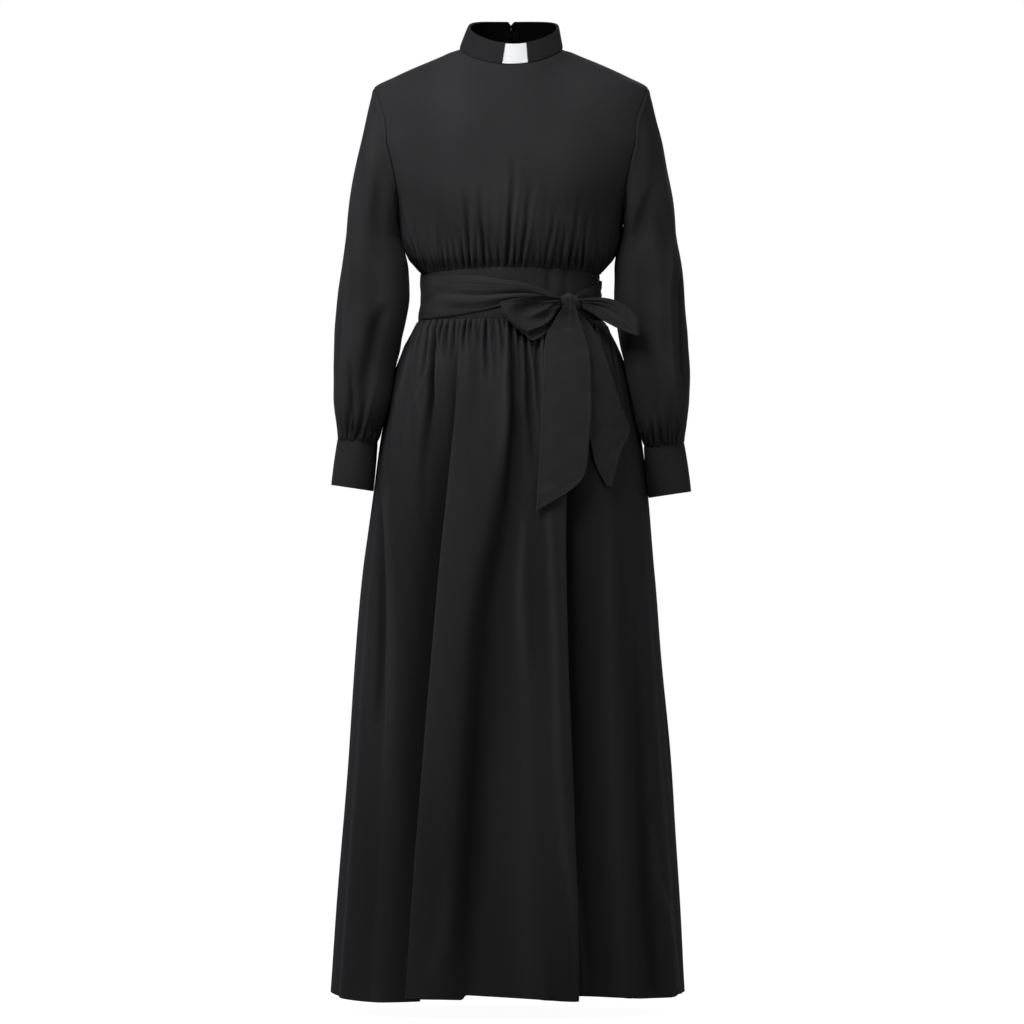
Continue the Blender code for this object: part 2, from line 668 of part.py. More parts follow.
def sleeve_ring(turn, z):
    """A ring of the left sleeve, from its outer side round the front: a point and its outward direction."""
    inner, outer = SLEEVE.at("inner", z), SLEEVE.at("outer", z)
    middle, half = (inner + outer) / 2, (outer - inner) / 2
    half_depth = SLEEVE.at("half_depth", z)
    away, ahead = math.cos(math.radians(360 * turn)), math.sin(math.radians(360 * turn))
    x = math.copysign(abs(away) ** (2 / SLEEVE_SQUARE), away) * half
    y = SLEEVE.at("middle_y", z) - math.copysign(abs(ahead) ** (2 / SLEEVE_SQUARE), ahead) * half_depth
    out = Vector((away * half_depth, -ahead * half, 0)).normalized()
    return Vector((middle + x, y, z + SLEEVE_TILT * x)), out


def sleeve_place(drop, flip):
    def place(column, row):
        turn, height, run = column
        part, along = row
        side = "front" if turn <= 0.5 else "back"
        down = 2 * turn if turn <= 0.5 else 2 - 2 * turn
        low = smooth((down - UNDERARM_SHARE) / (1 - UNDERARM_SHARE))
        if part == "cap":
            start = armhole_polygon(down, side)
            start += SEAM_OUT.lerp(UNDERARM_OUT, low) * mix(ARMHOLE_GAP, UNDERARM_CLEARANCE, low)
            end = sleeve_ring(turn, SLEEVE_TOP_Z)[0]
            reach = (end - start).length
            lead_out = LEAD_SHOULDER.lerp(LEAD_UNDERARM, low)
            lead_out.y = (-LEAD_AROUND if side == "front" else LEAD_AROUND) * math.sin(math.pi * down)
            leads = lead_out * reach * LEAD_OUT_SHARE, LEAD_DOWN * reach * LEAD_DOWN_SHARE
            point = hermite(start, end, *leads, along)
            if along > 0:
                point = clear_of_body(point)
        else:
            point, out = sleeve_ring(turn, along)
            height *= CUFF_GATHER_HEIGHT
            point += out * gather_height(height, run, along - SLEEVE_END_Z)
            point.z -= drop * (SLEEVE_TOP_Z - along) / (SLEEVE_TOP_Z - SLEEVE_END_Z)
            point = clear_of_body(point)
        point.x *= flip
        return point

    return place


def hermite(start, end, lead_out, lead_in, t):
    """A curve between two points that leaves and arrives along two directions."""
    return (
        start * (2 * t**3 - 3 * t**2 + 1)
        + lead_out * (t**3 - 2 * t**2 + t)
        + end * (3 * t**2 - 2 * t**3)
        + lead_in * (t**3 - t**2)
    )


def cuff_place(drop, depth, flip):
    def place(turn, share):
        z = SLEEVE_END_Z - SEAM_GAP - 2 * SLOPE_GAP - depth * share
        half, half_depth = (mix(a, b, share) for a, b in zip(CUFF_HALF["top"], CUFF_HALF["bottom"]))
        away, ahead = math.cos(math.radians(360 * turn)), math.sin(math.radians(360 * turn))
        middle = (SLEEVE.at("inner", SLEEVE_END_Z) + SLEEVE.at("outer", SLEEVE_END_Z)) / 2 + CUFF_SHIFT * share
        x, y = away * half, SLEEVE.at("middle_y", SLEEVE_END_Z) - ahead * half_depth
        tilt = mix(SLEEVE_TILT, CUFF_TILT, share)
        return Vector(((middle + x) * flip, y, z + tilt * x - drop))

    return place


def make_bodice(collection):
    front = Gathers(BODICE_FRONT_GATHERS, -1, 1, 3, BODICE_FRONT_RUNS)
    cloth("bodice_front", front.columns, BODICE_ROWS, bodice_place("front"), collection)
    for name, seed in (("left", 4), ("right", 5)):
        back = Gathers(BODICE_BACK_GATHERS, 0, 1, seed, BODICE_BACK_RUNS)
        place = bodice_place("back")
        if name == "right":
            place = mirrored(place)
        cloth(f"bodice_back_{name}", back.columns, BODICE_ROWS, place, collection)


def steps(start, end, count):
    return [mix(start, end, i / count) for i in range(count + 1)]


def make_skirt(collection):
    front = Gathers(SKIRT_FRONT_GATHERS, -90, 90, 7, SKIRT_RUNS)
    cloth("skirt_front", front.columns, SKIRT_ROWS, skirt_place("front"), collection)
    for name, seed, ends in (("left", 8, (90, 180)), ("right", 9, (-180, -90))):
        back = Gathers(SKIRT_BACK_GATHERS, *ends, seed, SKIRT_RUNS)
        cloth(f"skirt_back_{name}", back.columns, SKIRT_ROWS, skirt_place("back"), collection)


def make_waistband(collection):
    rows = steps(0, 1, 2)
    cloth("waistband_front", steps(-90, 90, 16), rows, band_place("front"), collection, BAND)
    cloth("waistband_back_left", steps(90, 180, 8), rows, band_place("back"), collection, BAND)
    cloth("waistband_back_right", steps(-180, -90, 8), rows, band_place("back"), collection, BAND)


def make_sleeves(collection):
    rows = [("cap", along) for along in CAP_STEPS] + [("ring", z) for z in SLEEVE_RING_ZS]
    for name, side in SIDES.items():
        gathers = Gathers(CUFF_GATHERS, 0, 1, 11 + side["x"], CUFF_RUNS)
        place = sleeve_place(side["drop"], side["x"])
        cloth(f"sleeve_{name}", gathers.columns, rows, place, collection, closed=True)
        place = cuff_place(side["drop"], side["cuff"], side["x"])
        cloth(f"cuff_{name}", steps(0, 1, CUFF_COLUMNS), steps(0, 1, 2), place, collection, BAND, closed=True)


def make_collar(collection, cutters):
    shares = steps(0, 1, COLLAR_COLUMNS)[:-1]
    shares += [1 - x / NOTCH_HALF * NOTCH_SHARE for x in NOTCH_COLUMNS]
    for name in SIDES:
        sign = SIDES[name]["x"]

        def place(share, rise, name=name, sign=sign):
            point = collar_point(collar_angle(name, rise, share), rise)
            if share == 1:
                point.x = sign * SEAM_GAP / 2
            return point

        piece = cloth(f"collar_{name}", shares, steps(0, 1, 3), place, collection, COLLAR_WALL)

        def pocket_place(angle, rise, name=name, sign=sign):
            return collar_point(mix(*COLLAR_ENDS[name], rise) + sign * angle, rise)

        angles, rises = steps(-POCKET_PAST, POCKET_ANGLE, 3), steps(-0.2, 1.2, 3)
        pocket = cloth(f"pocket_{name}", angles, rises, pocket_place, cutters, POCKET)
        join(piece, pocket, "DIFFERENCE")

    def tab_place(share, rise):
        first = mix(*COLLAR_ENDS["right"], rise) - TAB_WING_ANGLE
        last = mix(*COLLAR_ENDS["left"], rise) + TAB_WING_ANGLE
        return collar_point(mix(first, last, share), rise)

    cloth("tab_insert", steps(0, 1, 6), steps(0, 1, 3), tab_place, collection, TAB_WALL, "white_tab")


def make_sash(collection):
    cloth("sash_wrap", steps(SASH_START, SASH_END, SASH_COLUMNS), SASH_PLEATS, sash_place, collection)


def make_bow(collection):
    across = steps(0, 1, STRIP_COLUMNS - 1)
    strips = {
        "bow_loop_left": (LOOP_LEFT, LOOP_MOST_SHARE, 2),
        "bow_loop_right": (LOOP_RIGHT, LOOP_MOST_SHARE, 2),
        "bow_tail_front": (TAIL_FRONT, MOST_SHARE, 1),
        "bow_tail_back": (TAIL_BACK, MOST_SHARE, 1),
    }
    for name, (table, most_share, finer) in strips.items():
        last = table.keys[-1]
        cloth(name, across, steps(0, last, int(last * finer)), strip_place(table, most_share), collection, BOW_WALL)

    bm = bmesh.new()
    bmesh.ops.create_icosphere(bm, subdivisions=3, radius=1.0)
    for vert in bm.verts:
        wraps = math.cos(KNOT_RIDGES * (0.6 * vert.co.x + 0.8 * vert.co.z))
        grown = 1 - KNOT_RIDGE_HEIGHT * wraps * abs(vert.co.y) ** 0.5
        vert.co = Vector(part * half * grown for part, half in zip(vert.co, KNOT_HALF))
    centre = over_dress(KNOT_X, KNOT_Z, KNOT_LIFT, MOST_SHARE)
    left, right = (over_dress(KNOT_X + side * KNOT_HALF.x, KNOT_Z, KNOT_LIFT, MOST_SHARE) for side in (1, -1))
    heading = Matrix.Rotation(math.atan2(left.y - right.y, left.x - right.x), 3, "Z")
    bmesh.ops.rotate(bm, verts=bm.verts, matrix=heading @ Matrix.Rotation(math.radians(KNOT_TURN), 3, "Y"))
    bmesh.ops.translate(bm, verts=bm.verts, vec=centre)
    add("bow_knot", mesh_from(bm, "bow_knot"), "black_crepe", collection)


def block(name, size, at, collection):
    bm = bmesh.new()
    bmesh.ops.create_cube(bm, size=1.0)
    bmesh.ops.scale(bm, verts=bm.verts, vec=size)
    piece = add(name, mesh_from(bm, name), "black_metal", collection)
    piece.location = HINGE + at
    return piece


def hide(cutter):
    cutter.hide_render = True
    cutter.display_type = "WIRE"


def join(piece, other, operation):
    step = piece.modifiers.new(other.name, "BOOLEAN")
    step.operation = operation
    step.solver = "EXACT"
    step.object = other
    hide(other)


def make_zip(collection, cutters):
    slider = block("zip_slider", SLIDER_PLATE, SLIDER_PLATE_AT, collection)
    rounded = slider.modifiers.new("Rounded", "BEVEL")
    rounded.width = 2 * METAL_BEVEL
    rounded.segments = 1
    join(slider, block("slider_bridge", SLIDER_BRIDGE, SLIDER_BRIDGE_AT, cutters), "UNION")
    bm = bmesh.new()
    turned = Matrix.Rotation(math.pi / 2, 4, "Y")
    bmesh.ops.create_cone(bm, cap_ends=True, segments=12, radius1=BAR_HOLE, radius2=BAR_HOLE, depth=0.01, matrix=turned)
    hole = add("bar_hole", mesh_from(bm, "bar_hole"), "black_metal", cutters)
    hole.location = HINGE
    join(slider, hole, "DIFFERENCE")

    shape = bpy.data.curves.new("zip_pull", "CURVE")
    shape.dimensions = "2D"
    shape.fill_mode = "BOTH"
    shape.extrude = PULL_HALF_THICKNESS
    half, end_half = PULL_HALF["top"], PULL_HALF["bottom"]
    turns = [math.pi * i / 6 for i in range(7)]
    sides = [(half, PULL_HALF_THICKNESS), (-half, PULL_HALF_THICKNESS)]
    tip = [(-end_half * math.cos(turn), end_half - PULL_LENGTH - end_half * math.sin(turn)) for turn in turns]
    window, top, bottom = PULL_WINDOW["half"], PULL_WINDOW["top"], PULL_WINDOW["bottom"]
    for outline_points in (sides + tip, [(-window, top), (window, top), (window, bottom), (-window, bottom)]):
        spline = shape.splines.new("POLY")
        spline.points.add(len(outline_points) - 1)
        spline.use_cyclic_u = True
        for point, (x, y) in zip(spline.points, outline_points):
            point.co = (x, y, 0, 1)
    pull = bpy.data.objects.new("zip_pull", shape)
    shape.materials.append(material("black_metal"))
    collection.objects.link(pull)
    pull.location = HINGE
    pull.rotation_euler.x = math.pi / 2
    welded = pull.modifiers.new("Caps", "WELD")
    welded.merge_threshold = 0.00001
    rounded = pull.modifiers.new("Rounded", "BEVEL")
    rounded.width = METAL_BEVEL
    rounded.segments = 1


def main():
    for old in list(bpy.data.objects):
        bpy.data.objects.remove(old)
    dress = bpy.data.collections.new("Clergy dress")
    cutters = bpy.data.collections.new("Cutters")
    for collection in (dress, cutters):
        bpy.context.scene.collection.children.link(collection)
    make_bodice(dress)
    make_sleeves(dress)
    make_collar(dress, cutters)
    make_waistband(dress)
    make_skirt(dress)
    make_sash(dress)
    make_bow(dress)
    make_zip(dress, cutters)


main()
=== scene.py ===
import math
import random

import bmesh
import bpy
import numpy as np
from mathutils import Matrix, Vector


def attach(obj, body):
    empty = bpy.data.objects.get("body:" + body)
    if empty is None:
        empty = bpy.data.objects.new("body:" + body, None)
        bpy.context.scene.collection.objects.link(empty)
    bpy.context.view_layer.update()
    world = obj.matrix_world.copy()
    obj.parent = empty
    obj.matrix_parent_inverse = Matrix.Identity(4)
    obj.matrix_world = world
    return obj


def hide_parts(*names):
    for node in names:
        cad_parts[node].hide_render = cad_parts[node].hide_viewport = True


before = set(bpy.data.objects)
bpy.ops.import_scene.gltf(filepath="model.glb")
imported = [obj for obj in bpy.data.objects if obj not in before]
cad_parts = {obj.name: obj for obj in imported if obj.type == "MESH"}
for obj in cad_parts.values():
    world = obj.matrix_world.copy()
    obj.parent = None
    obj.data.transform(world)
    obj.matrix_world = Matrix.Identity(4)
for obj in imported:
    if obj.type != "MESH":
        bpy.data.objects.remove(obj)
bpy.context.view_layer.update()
print("frame loaded")

# Heights of the seams, as in the part's source
seams = {
    "neckPoint": 0.004, "shoulderPoint": -0.052, "underarm": -0.245, "waistTopFront": -0.3085,
    "waistTopSide": -0.3180, "waistTopBack": -0.3145, "waistBottom": -0.3850, "hem": -1.3460,
}
clothWall = 0.0010


def smooth(t):
    t = np.clip(t, 0.0, 1.0)
    return t * t * (3 - 2 * t)


def mix(a, b, t):
    return a + (b - a) * t


def spots(x, y, z):
    return np.stack(np.broadcast_arrays(x, y, z), -1).astype(float)


def unit(v):
    return v / np.maximum(np.linalg.norm(v, axis=-1, keepdims=True), 1e-12)


def hump(d):
    return np.exp(-d * d)


def signedPower(x, power):
    return np.copysign(np.abs(x) ** power, x)


def facing(angle):
    # How far an angle in degrees from the front centre points sideways, and how far ahead
    return np.sin(np.radians(angle)), np.cos(np.radians(angle))


def hermite(start, end, outOf, into, t):
    # A curve between two points or values, with its slopes at both
    return (start * (2 * t**3 - 3 * t**2 + 1) + outOf * (t**3 - 2 * t**2 + t)
            + end * (3 * t**2 - 2 * t**3) + into * (t**3 - t**2))


class Levels:
    # A short table with named columns, read between its rows by a cubic that never overshoots them.
    # Its lengths are written in millimetres and read in metres
    unscaled = {"square", "angle", "step", "share", "degrees"}

    def __init__(self, names, *rows):
        names = names.split()
        rows = np.array(sorted(rows)) / [1 if name in self.unscaled else 1000 for name in names]
        self.keys = rows[:, 0]
        self.values = dict(zip(names, rows.T))
        self.slopes = {name: self.slopesOf(values) for name, values in self.values.items()}

    def slopesOf(self, values):
        step = np.diff(self.keys)
        rise = np.diff(values) / step
        near, far = 2 * step[1:] + step[:-1], step[1:] + 2 * step[:-1]
        before, after = rise[:-1], rise[1:]
        same = before * after > 0
        inner = np.zeros(len(before))
        inner[same] = (near + far)[same] / (near[same] / before[same] + far[same] / after[same])
        return np.concatenate([rise[:1], inner, rise[-1:]])

    def at(self, name, key):
        key = np.clip(np.asarray(key, float), self.keys[0], self.keys[-1])
        spot = np.clip(np.searchsorted(self.keys, key, side="right") - 1, 0, len(self.keys) - 2)
        step = self.keys[spot + 1] - self.keys[spot]
        values, slopes = self.values[name], self.slopes[name]
        return hermite(values[spot], values[spot + 1], step * slopes[spot], step * slopes[spot + 1],
                       (key - self.keys[spot]) / step)

    def holds(self, key):
        return (key >= self.keys[0]) & (key <= self.keys[-1])


# The body of the dress, level by level: half width, reach to the front and to the back, and how square it is
neckHalf, shoulderHalf = 0.0727, 0.1955  # half widths at the neck and at the shoulders, as in the table
torsoLevels = Levels(
    "z halfWidth front back square",
    (12, 72.7, 52, 52, 2.1), (4, 72.7, 52, 52, 2.1), (-2, 88.5, 53.2, 54.7, 1.95),
    (-7.5, 100.8, 55.5, 57.5, 1.85), (-24.5, 141.2, 64, 66.5, 1.95), (-36, 166, 70, 71.5, 2.05),
    (-52, 195.5, 79, 79, 2.2), (-83, 205, 92, 88, 2.35), (-126, 206.5, 103.5, 94.5, 2.45),
    (-148, 198.5, 108, 96.5, 2.5), (-180, 184.5, 113.5, 98, 2.45), (-215, 169, 117, 98, 2.35),
    (-245, 161, 116, 96.5, 2.3), (-265, 157.5, 113, 95.5, 2.25), (-282, 152.8, 109.2, 94.5, 2.2),
    (-296, 147, 104.5, 93, 2.15), (-308.5, 137.5, 98.5, 90.5, 2.1), (-318, 131.2, 96.5, 88.5, 2.1),
)
waistLevels = Levels(
    "z halfWidth front back square",
    (-308.5, 126.2, 95.5, 86.5, 2.1), (-345, 125, 95, 86, 2.1), (-385, 129, 96.5, 88, 2.1),
)
skirtLevels = Levels(
    "z halfWidth front back square middle",
    (-385, 131.8, 98.5, 89.5, 2.1, 0), (-392, 136.8, 101, 93, 2.1, 0), (-402, 142, 104, 97, 2.1, 0),
    (-421, 152, 110, 106, 2.1, 0), (-452, 164, 119, 118, 2.08, 0), (-481, 171.5, 126, 126, 2.05, 0),
    (-521, 180, 133, 134, 2.02, 0), (-555, 186.6, 138.5, 140, 2, 0), (-623, 195.2, 147, 149, 2, -0.4),
    (-741, 207.5, 159, 162, 2, -3), (-860, 217, 170, 173, 2, -3.5), (-1000, 227.5, 181, 184, 2, -3.5),
    (-1150, 239.5, 191.5, 195, 2, -3.5), (-1346, 252.2, 205, 210, 2, -4.8),
)
# Long folds of the skirt at its hem, by angle from the front: how far out, how far sideways and how far up
hemFolds = Levels(
    "angle out lean rise",
    (-180, 0, 0, 0), (-168, 12, 0, -2), (-153, -10, 0, 2), (-137, 14, 4, -3), (-121, -9, 0, 2),
    (-106, 8, 0, -1), (-90, 0, 0, 0), (-76, -3, 0, -2), (-64, 8, 0, -4), (-53, -5, 0, -7), (-45, 6, 6, -6),
    (-36, -15, 18, -4), (-27, 18, -22, 1), (-15, -1, 0, 0.5), (-13.6, -4, 0, 6.5), (-11, -6, 0, 6),
    (7, 6, 3, 2), (18, 15, 14, -2), (28, -16, -14, 4), (40, 8, 0, 1), (52, -5, 0, -2), (63, 7, 0, -2),
    (77, -3, 0, 0), (90, 0, 0, 2), (104, 9, 0, -2), (119, -10, 0, 2), (135, 13, -4, -3), (150, -8, 0, 2),
    (166, 11, 0, -2), (180, 0, 0, 0),
)


def outline(table, angle, z):
    # A level's outline at an angle in degrees from the front centre, and the way out of it
    side, ahead = facing(angle)
    halfWidth, power = table.at("halfWidth", z), table.at("square", z)
    reach = np.where(ahead > 0, table.at("front", z), table.at("back", z))
    x, y = signedPower(side, 2 / power) * halfWidth, -signedPower(ahead, 2 / power) * reach
    outX, outY = (signedPower(part / span, power - 1) / span for part, span in ((x, halfWidth), (y, reach)))
    return spots(x, y, z), unit(spots(outX, outY, 0))


def torso(x, z, side):
    halfWidth, reach, power = (torsoLevels.at(name, z) for name in ("halfWidth", side, "square"))
    share = np.minimum(1.0, np.abs(x) / halfWidth)
    depth = (1 - share**power) ** (1 / power)
    return spots(x, (-1 if side == "front" else 1) * depth * reach, z)


def neckline(angle):
    side, ahead = facing(angle)
    z = seams["neckPoint"] - 0.0155 * ahead - 0.0095 * ahead * ahead
    x = neckHalf * side
    return np.where((ahead > 0)[..., None], torso(x, z, "front"), torso(x, z, "back"))


def ridgeZ(x):
    levels = np.linspace(seams["shoulderPoint"], seams["neckPoint"], 400)
    widths = torsoLevels.at("halfWidth", levels)
    return np.interp(x, widths[::-1], levels[::-1])


def waistTop(angle):
    side, ahead = facing(angle)
    middle = np.where(ahead > 0, seams["waistTopFront"], seams["waistTopBack"])
    return mix(middle, seams["waistTopSide"], side * side)


def armhole(turn, side):
    top, bottom = seams["shoulderPoint"], seams["underarm"]
    z = (top + bottom) / 2 + (top - bottom) / 2 * np.cos(np.pi * turn)
    y = (0.066 if side == "front" else 0.062) * np.sin(np.pi * turn)
    power = torsoLevels.at("square", z)
    x = torsoLevels.at("halfWidth", z) * (1 - np.abs(y / torsoLevels.at(side, z)) ** power) ** (1 / power)
    return spots(x, -y if side == "front" else y, z)


# Creases. Their tables give x and z where a crease shows from the front or the back, and all lengths in mm


def profile(d):
    # A crease is sharp at its bottom and rounded at its shoulders
    return 0.6 * np.exp(-d * d) + 0.4 * np.exp(-1.3 * np.abs(d))


def gatherField(x, away, metric, gathers, deeper=1.0):
    # Gathers start at a seam. Rows: x at the seam, x at the far end, length, depth, width
    total = np.zeros_like(x)
    for i, row in enumerate(gathers):
        seamX, farX, run, depth, width = (part / 1000 for part in row)
        share = np.clip(away / run, 0, 1)
        sway = 0.0011 * np.sin(away * 95 + 2.1 * i) * share
        centre = mix(seamX, farX, share**0.85) + sway
        grown = mix(0.6, 1.0, smooth(away / 0.007)) * (1 - share**1.7) ** 1.3
        d = (x - centre) * metric / (width * (1 + 1.1 * share))
        # The cloth swells beside each groove
        total += deeper * depth * grown * (0.55 * hump((np.abs(d) - 1.9) / 0.85) - profile(d))
    return total


def creaseField(x, z, metric, creases, deeper=1.0, pressed=False):
    # Long creases. Rows of one crease: z, x, height (below 0 for a groove), width
    total = np.zeros_like(x)
    for rows in creases:
        path = Levels("z x height width", *rows)
        centre, height, width = (path.at(name, z) for name in ("x", "height", "width"))
        slope = (path.at("x", z + 0.002) - path.at("x", z - 0.002)) / 0.004
        d = (x - centre) * metric / np.sqrt(1 + slope * slope) / width
        total += np.where(path.holds(z), deeper * height * (np.exp(-np.abs(d)) if pressed else hump(d)), 0)
    return total


def lapField(x, z, metric, laps):
    # A fold that stands over its neighbour: a sharp edge, then a deep slope that rises again.
    # Rows: z, x, depth (below 0 where the deep side is at the right), width
    total = np.zeros_like(x)
    for rows in laps:
        path = Levels("z x depth width", *rows)
        centre, depth, width = (path.at(name, z) for name in ("x", "depth", "width"))
        d = (x - centre) * metric * np.sign(np.mean(rows, axis=0)[2])
        share = (1 + np.tanh(d / 0.0026)) / 2
        field = mix(-np.exp(-np.abs(d) / width), 0.24 * np.exp(-np.abs(d) / (0.7 * width)), share)
        total += np.where(path.holds(z), np.abs(depth) * field, 0)
    return total


def ripples(x, z, length, height, seed, stretch=1.0):
    # Soft unevenness of hanging cloth, with no direction or repeat that shows
    draw = random.Random(seed)
    total = np.zeros_like(x)
    for _ in range(9):
        turn, phase = draw.uniform(0, math.tau), draw.uniform(0, math.tau)
        wave = math.tau / (length * draw.uniform(0.6, 1.7))
        total += np.sin(wave * (x * math.cos(turn) + z * math.sin(turn) / stretch) + phase)
    return total * height / 3


def unevenGathers(seed, count, start, end, runs, depths, widths, lean=0.10):
    # Gathers that aren't placed one by one, uneven in place, length and depth
    draw = random.Random(seed)
    rows = []
    for i in range(count):
        x = mix(start, end, (i + 0.5 + draw.uniform(-0.42, 0.42)) / count)
        run = mix(*runs, draw.random() ** 1.8)
        farX = x * (1 + lean * draw.uniform(0.4, 1.4))
        depth = mix(*depths, draw.random()) * (0.7 + 0.3 * run / runs[1])
        rows.append((x, farX, run, depth, mix(*widths, draw.random())))
    return rows


# Making cloth


def meshFrom(bm, name):
    mesh = bpy.data.meshes.new(name)
    bm.to_mesh(mesh)
    bm.free()
    return mesh


def linked(name, data):
    made = bpy.data.objects.new(name, data)
    bpy.context.scene.collection.objects.link(made)
    return made


def gridOf(name, across, down):
    # A flat grid, with each vertex's column and row
    bm = bmesh.new()
    bmesh.ops.create_grid(bm, x_segments=across - 1, y_segments=down - 1, size=0.5)
    mesh = meshFrom(bm, name)
    flat = np.empty(len(mesh.vertices) * 3)
    mesh.vertices.foreach_get("co", flat)
    flat = flat.reshape(-1, 3) + 0.5
    return mesh, np.rint(flat[:, 0] * (across - 1)).astype(int), np.rint(flat[:, 1] * (down - 1)).astype(int)


def cloth(name, columns, rows, place, hint, height, node, wall=clothWall, closed=False,
          slotName="black_crepe", rim=0.0, exact=False, paintedShadeAndLight=0.0):
    # A wall of cloth: a grid put in place, creased along the direction that stands on it, and given a wall.
    # hint tells which side is out, or if exact is that direction
    # The last argument shifts the whole piece's painted light and shade, lighter or darker
    mesh, column, row = gridOf(name, len(columns), len(rows))
    u, v = np.meshgrid(columns, rows)
    points = place(u, v)
    out = hint(points, u, v)
    if not exact:
        along, down = np.gradient(points, axis=1), np.gradient(points, axis=0)
        if closed:
            along[:, 0] = along[:, -1] = (points[:, 1] - points[:, -2]) / 2
        standing = unit(np.cross(along, down))
        out = standing * np.where(np.sum(standing * out, -1, keepdims=True) < 0, -1, 1)
    raised = height(points, u, v) if height else np.zeros(u.shape)
    if closed:
        raised[:, -1] = raised[:, 0]
    points = points + out * raised[..., None]
    if closed:
        points[:, -1] = points[:, 0]
    mesh.vertices.foreach_set("co", points[row, column].ravel())
    # The cloth's own map, in metres along it
    lengthU, lengthV = lengthAlong(points, 1), lengthAlong(points, 0)
    lengthU -= lengthU[:, lengthU.shape[1] // 2][:, None]
    loops = np.empty(len(mesh.loops), dtype=int)
    mesh.loops.foreach_get("vertex_index", loops)
    layer = mesh.uv_layers.new(name="clothMap")
    spread = np.stack([lengthU[row, column], lengthV[row, column]], -1)
    layer.data.foreach_set("uv", spread[loops].ravel())
    # How far each point lies in a fold or on its crest, which sets the finish's painted shade and highlight
    crest = mesh.attributes.new("crest", "FLOAT", "POINT")
    wearAndPaintedLight = 0.5 + paintedShadeAndLight + 0.5 * np.sign(raised) * (1 - np.exp(-np.abs(raised) / 0.004))
    crest.data.foreach_set("value", np.clip(wearAndPaintedLight, 0, 1)[row, column])
    mesh.update()
    # Faces point outwards before the wall gets its thickness
    normals = np.empty(len(mesh.polygons) * 3)
    mesh.polygons.foreach_get("normal", normals)
    normals = normals.reshape(-1, 3)
    first = np.array([face.vertices[0] for face in mesh.polygons])
    if np.sum(np.sum(normals * out[row, column][first], -1) > 0) < len(normals) / 2:
        mesh.flip_normals()
    if closed:
        bm = bmesh.new()
        bm.from_mesh(mesh)
        bmesh.ops.remove_doubles(bm, verts=bm.verts, dist=1e-6)
        bm.to_mesh(mesh)
        bm.free()
    return dressed(name, mesh, node, wall, slotName, rim)


def dressed(name, mesh, node, wall, slotName, rim=0.0):
    piece = linked(name, mesh)
    mesh.materials.append(finishes[slotName])
    mesh.shade_smooth()
    if wall:
        solidify = piece.modifiers.new("wall", "SOLIDIFY")
        solidify.thickness = wall
        solidify.offset = 0
        if slotName == "black_crepe" and not name.startswith(("bow", "sash")):
            # Inside faces take the far darker copy of the crepe: painted shade inside the dress
            mesh.materials.append(finishes["crepeShadedInside"])
            solidify.material_offset = 1
    if rim:
        rounded = piece.modifiers.new("rim", "BEVEL")
        rounded.width = rim
        rounded.segments = 2
        rounded.limit_method = "ANGLE"
        rounded.angle_limit = math.radians(50)
    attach(piece, "dress")
    if node:
        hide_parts(node)
    return piece


def clustered(start, end, count, near=(0.0006, 0.0014, 0.0026, 0.0045)):
    # Even steps, with a few close ones at both ends for the turned-in seam. near is in shares of the span
    close = (end - start) * np.array(near)
    steps = np.concatenate([np.linspace(start, end, count), start + close, end - close])
    return np.unique(np.round(steps, 7))


def seamedRound(count):
    # Even steps round a tube, with a few close ones at both sides of the seam opposite its start
    close = (0.494, 0.497, 0.4985, 0.5, 0.5015, 0.503, 0.506)
    return np.unique(np.round(np.concatenate([np.linspace(0, 1, count + 1), close]), 6))


def lengthAlong(points, axis):
    return np.cumsum(np.linalg.norm(np.gradient(points, axis=axis), axis=-1), axis=axis)


def heldBySeams(high, points, run=0.014):
    # Creases die out towards a panel's two side seams, where the seam itself dips in
    along = lengthAlong(points, 1)
    left, right = along - along[:, :1], along[:, -1:] - along
    return high * smooth(np.minimum(left, right) / run) + seamDip(left) + seamDip(right)


def seamDip(away, depth=0.0011, run=0.0016):
    return -depth * np.exp(-((np.maximum(away, 0) / run) ** 1.5))


def heldAbove(high, points, run=0.022):
    # The same at the seam along a panel's upper edge
    fall = lengthAlong(points, 0)
    return high * smooth((fall - fall[:1]) / run) + seamDip(fall - fall[:1], 0.0007, 0.0013)


# Materials


class Link:
    # One socket of a finish, so that maths on it reads as maths
    def __init__(self, finish, socket):
        self.finish, self.socket = finish, socket

    def do(self, operation, *values):
        return self.finish.add("ShaderNodeMath", {"operation": operation}, dict(enumerate(values)))

    def __add__(self, other):
        return self.do("ADD", self, other)

    def __rsub__(self, other):
        return self.do("SUBTRACT", other, self)

    def __mul__(self, other):
        return self.do("MULTIPLY", self, other)

    def sine(self):
        return self.do("SINE", self)


class Finish:
    def __init__(self, name, constants):
        self.material = bpy.data.materials.new(name)
        self.material.use_nodes = True
        self.tree = self.material.node_tree
        self.shader = self.tree.nodes["Principled BSDF"]
        for socket, value in constants.items():
            self.shader.inputs[socket].default_value = value

    def add(self, kind, settings, values, out=0):
        node = self.tree.nodes.new(kind)
        for name, value in settings.items():
            setattr(node, name, value)
        for socket, value in values.items():
            if isinstance(value, Link):
                self.tree.links.new(value.socket, node.inputs[socket])
            else:
                node.inputs[socket].default_value = value
        return Link(self, node.outputs[out])

    def noise(self, place, scale, detail, rough=0.5):
        values = {"Vector": place, "Scale": scale, "Detail": detail, "Roughness": rough}
        return self.add("ShaderNodeTexNoise", {}, values)

    def bump(self, strength, distance, height):
        bump = self.add("ShaderNodeBump", {}, {"Strength": strength, "Distance": distance, "Height": height})
        self.set("Normal", bump)

    def set(self, socket, value):
        self.tree.links.new(value.socket, self.shader.inputs[socket])

    def tint(self, share, dark, light):
        return self.add("ShaderNodeMix", {"data_type": "RGBA"}, {0: share, 6: (*dark, 1), 7: (*light, 1)}, 2)


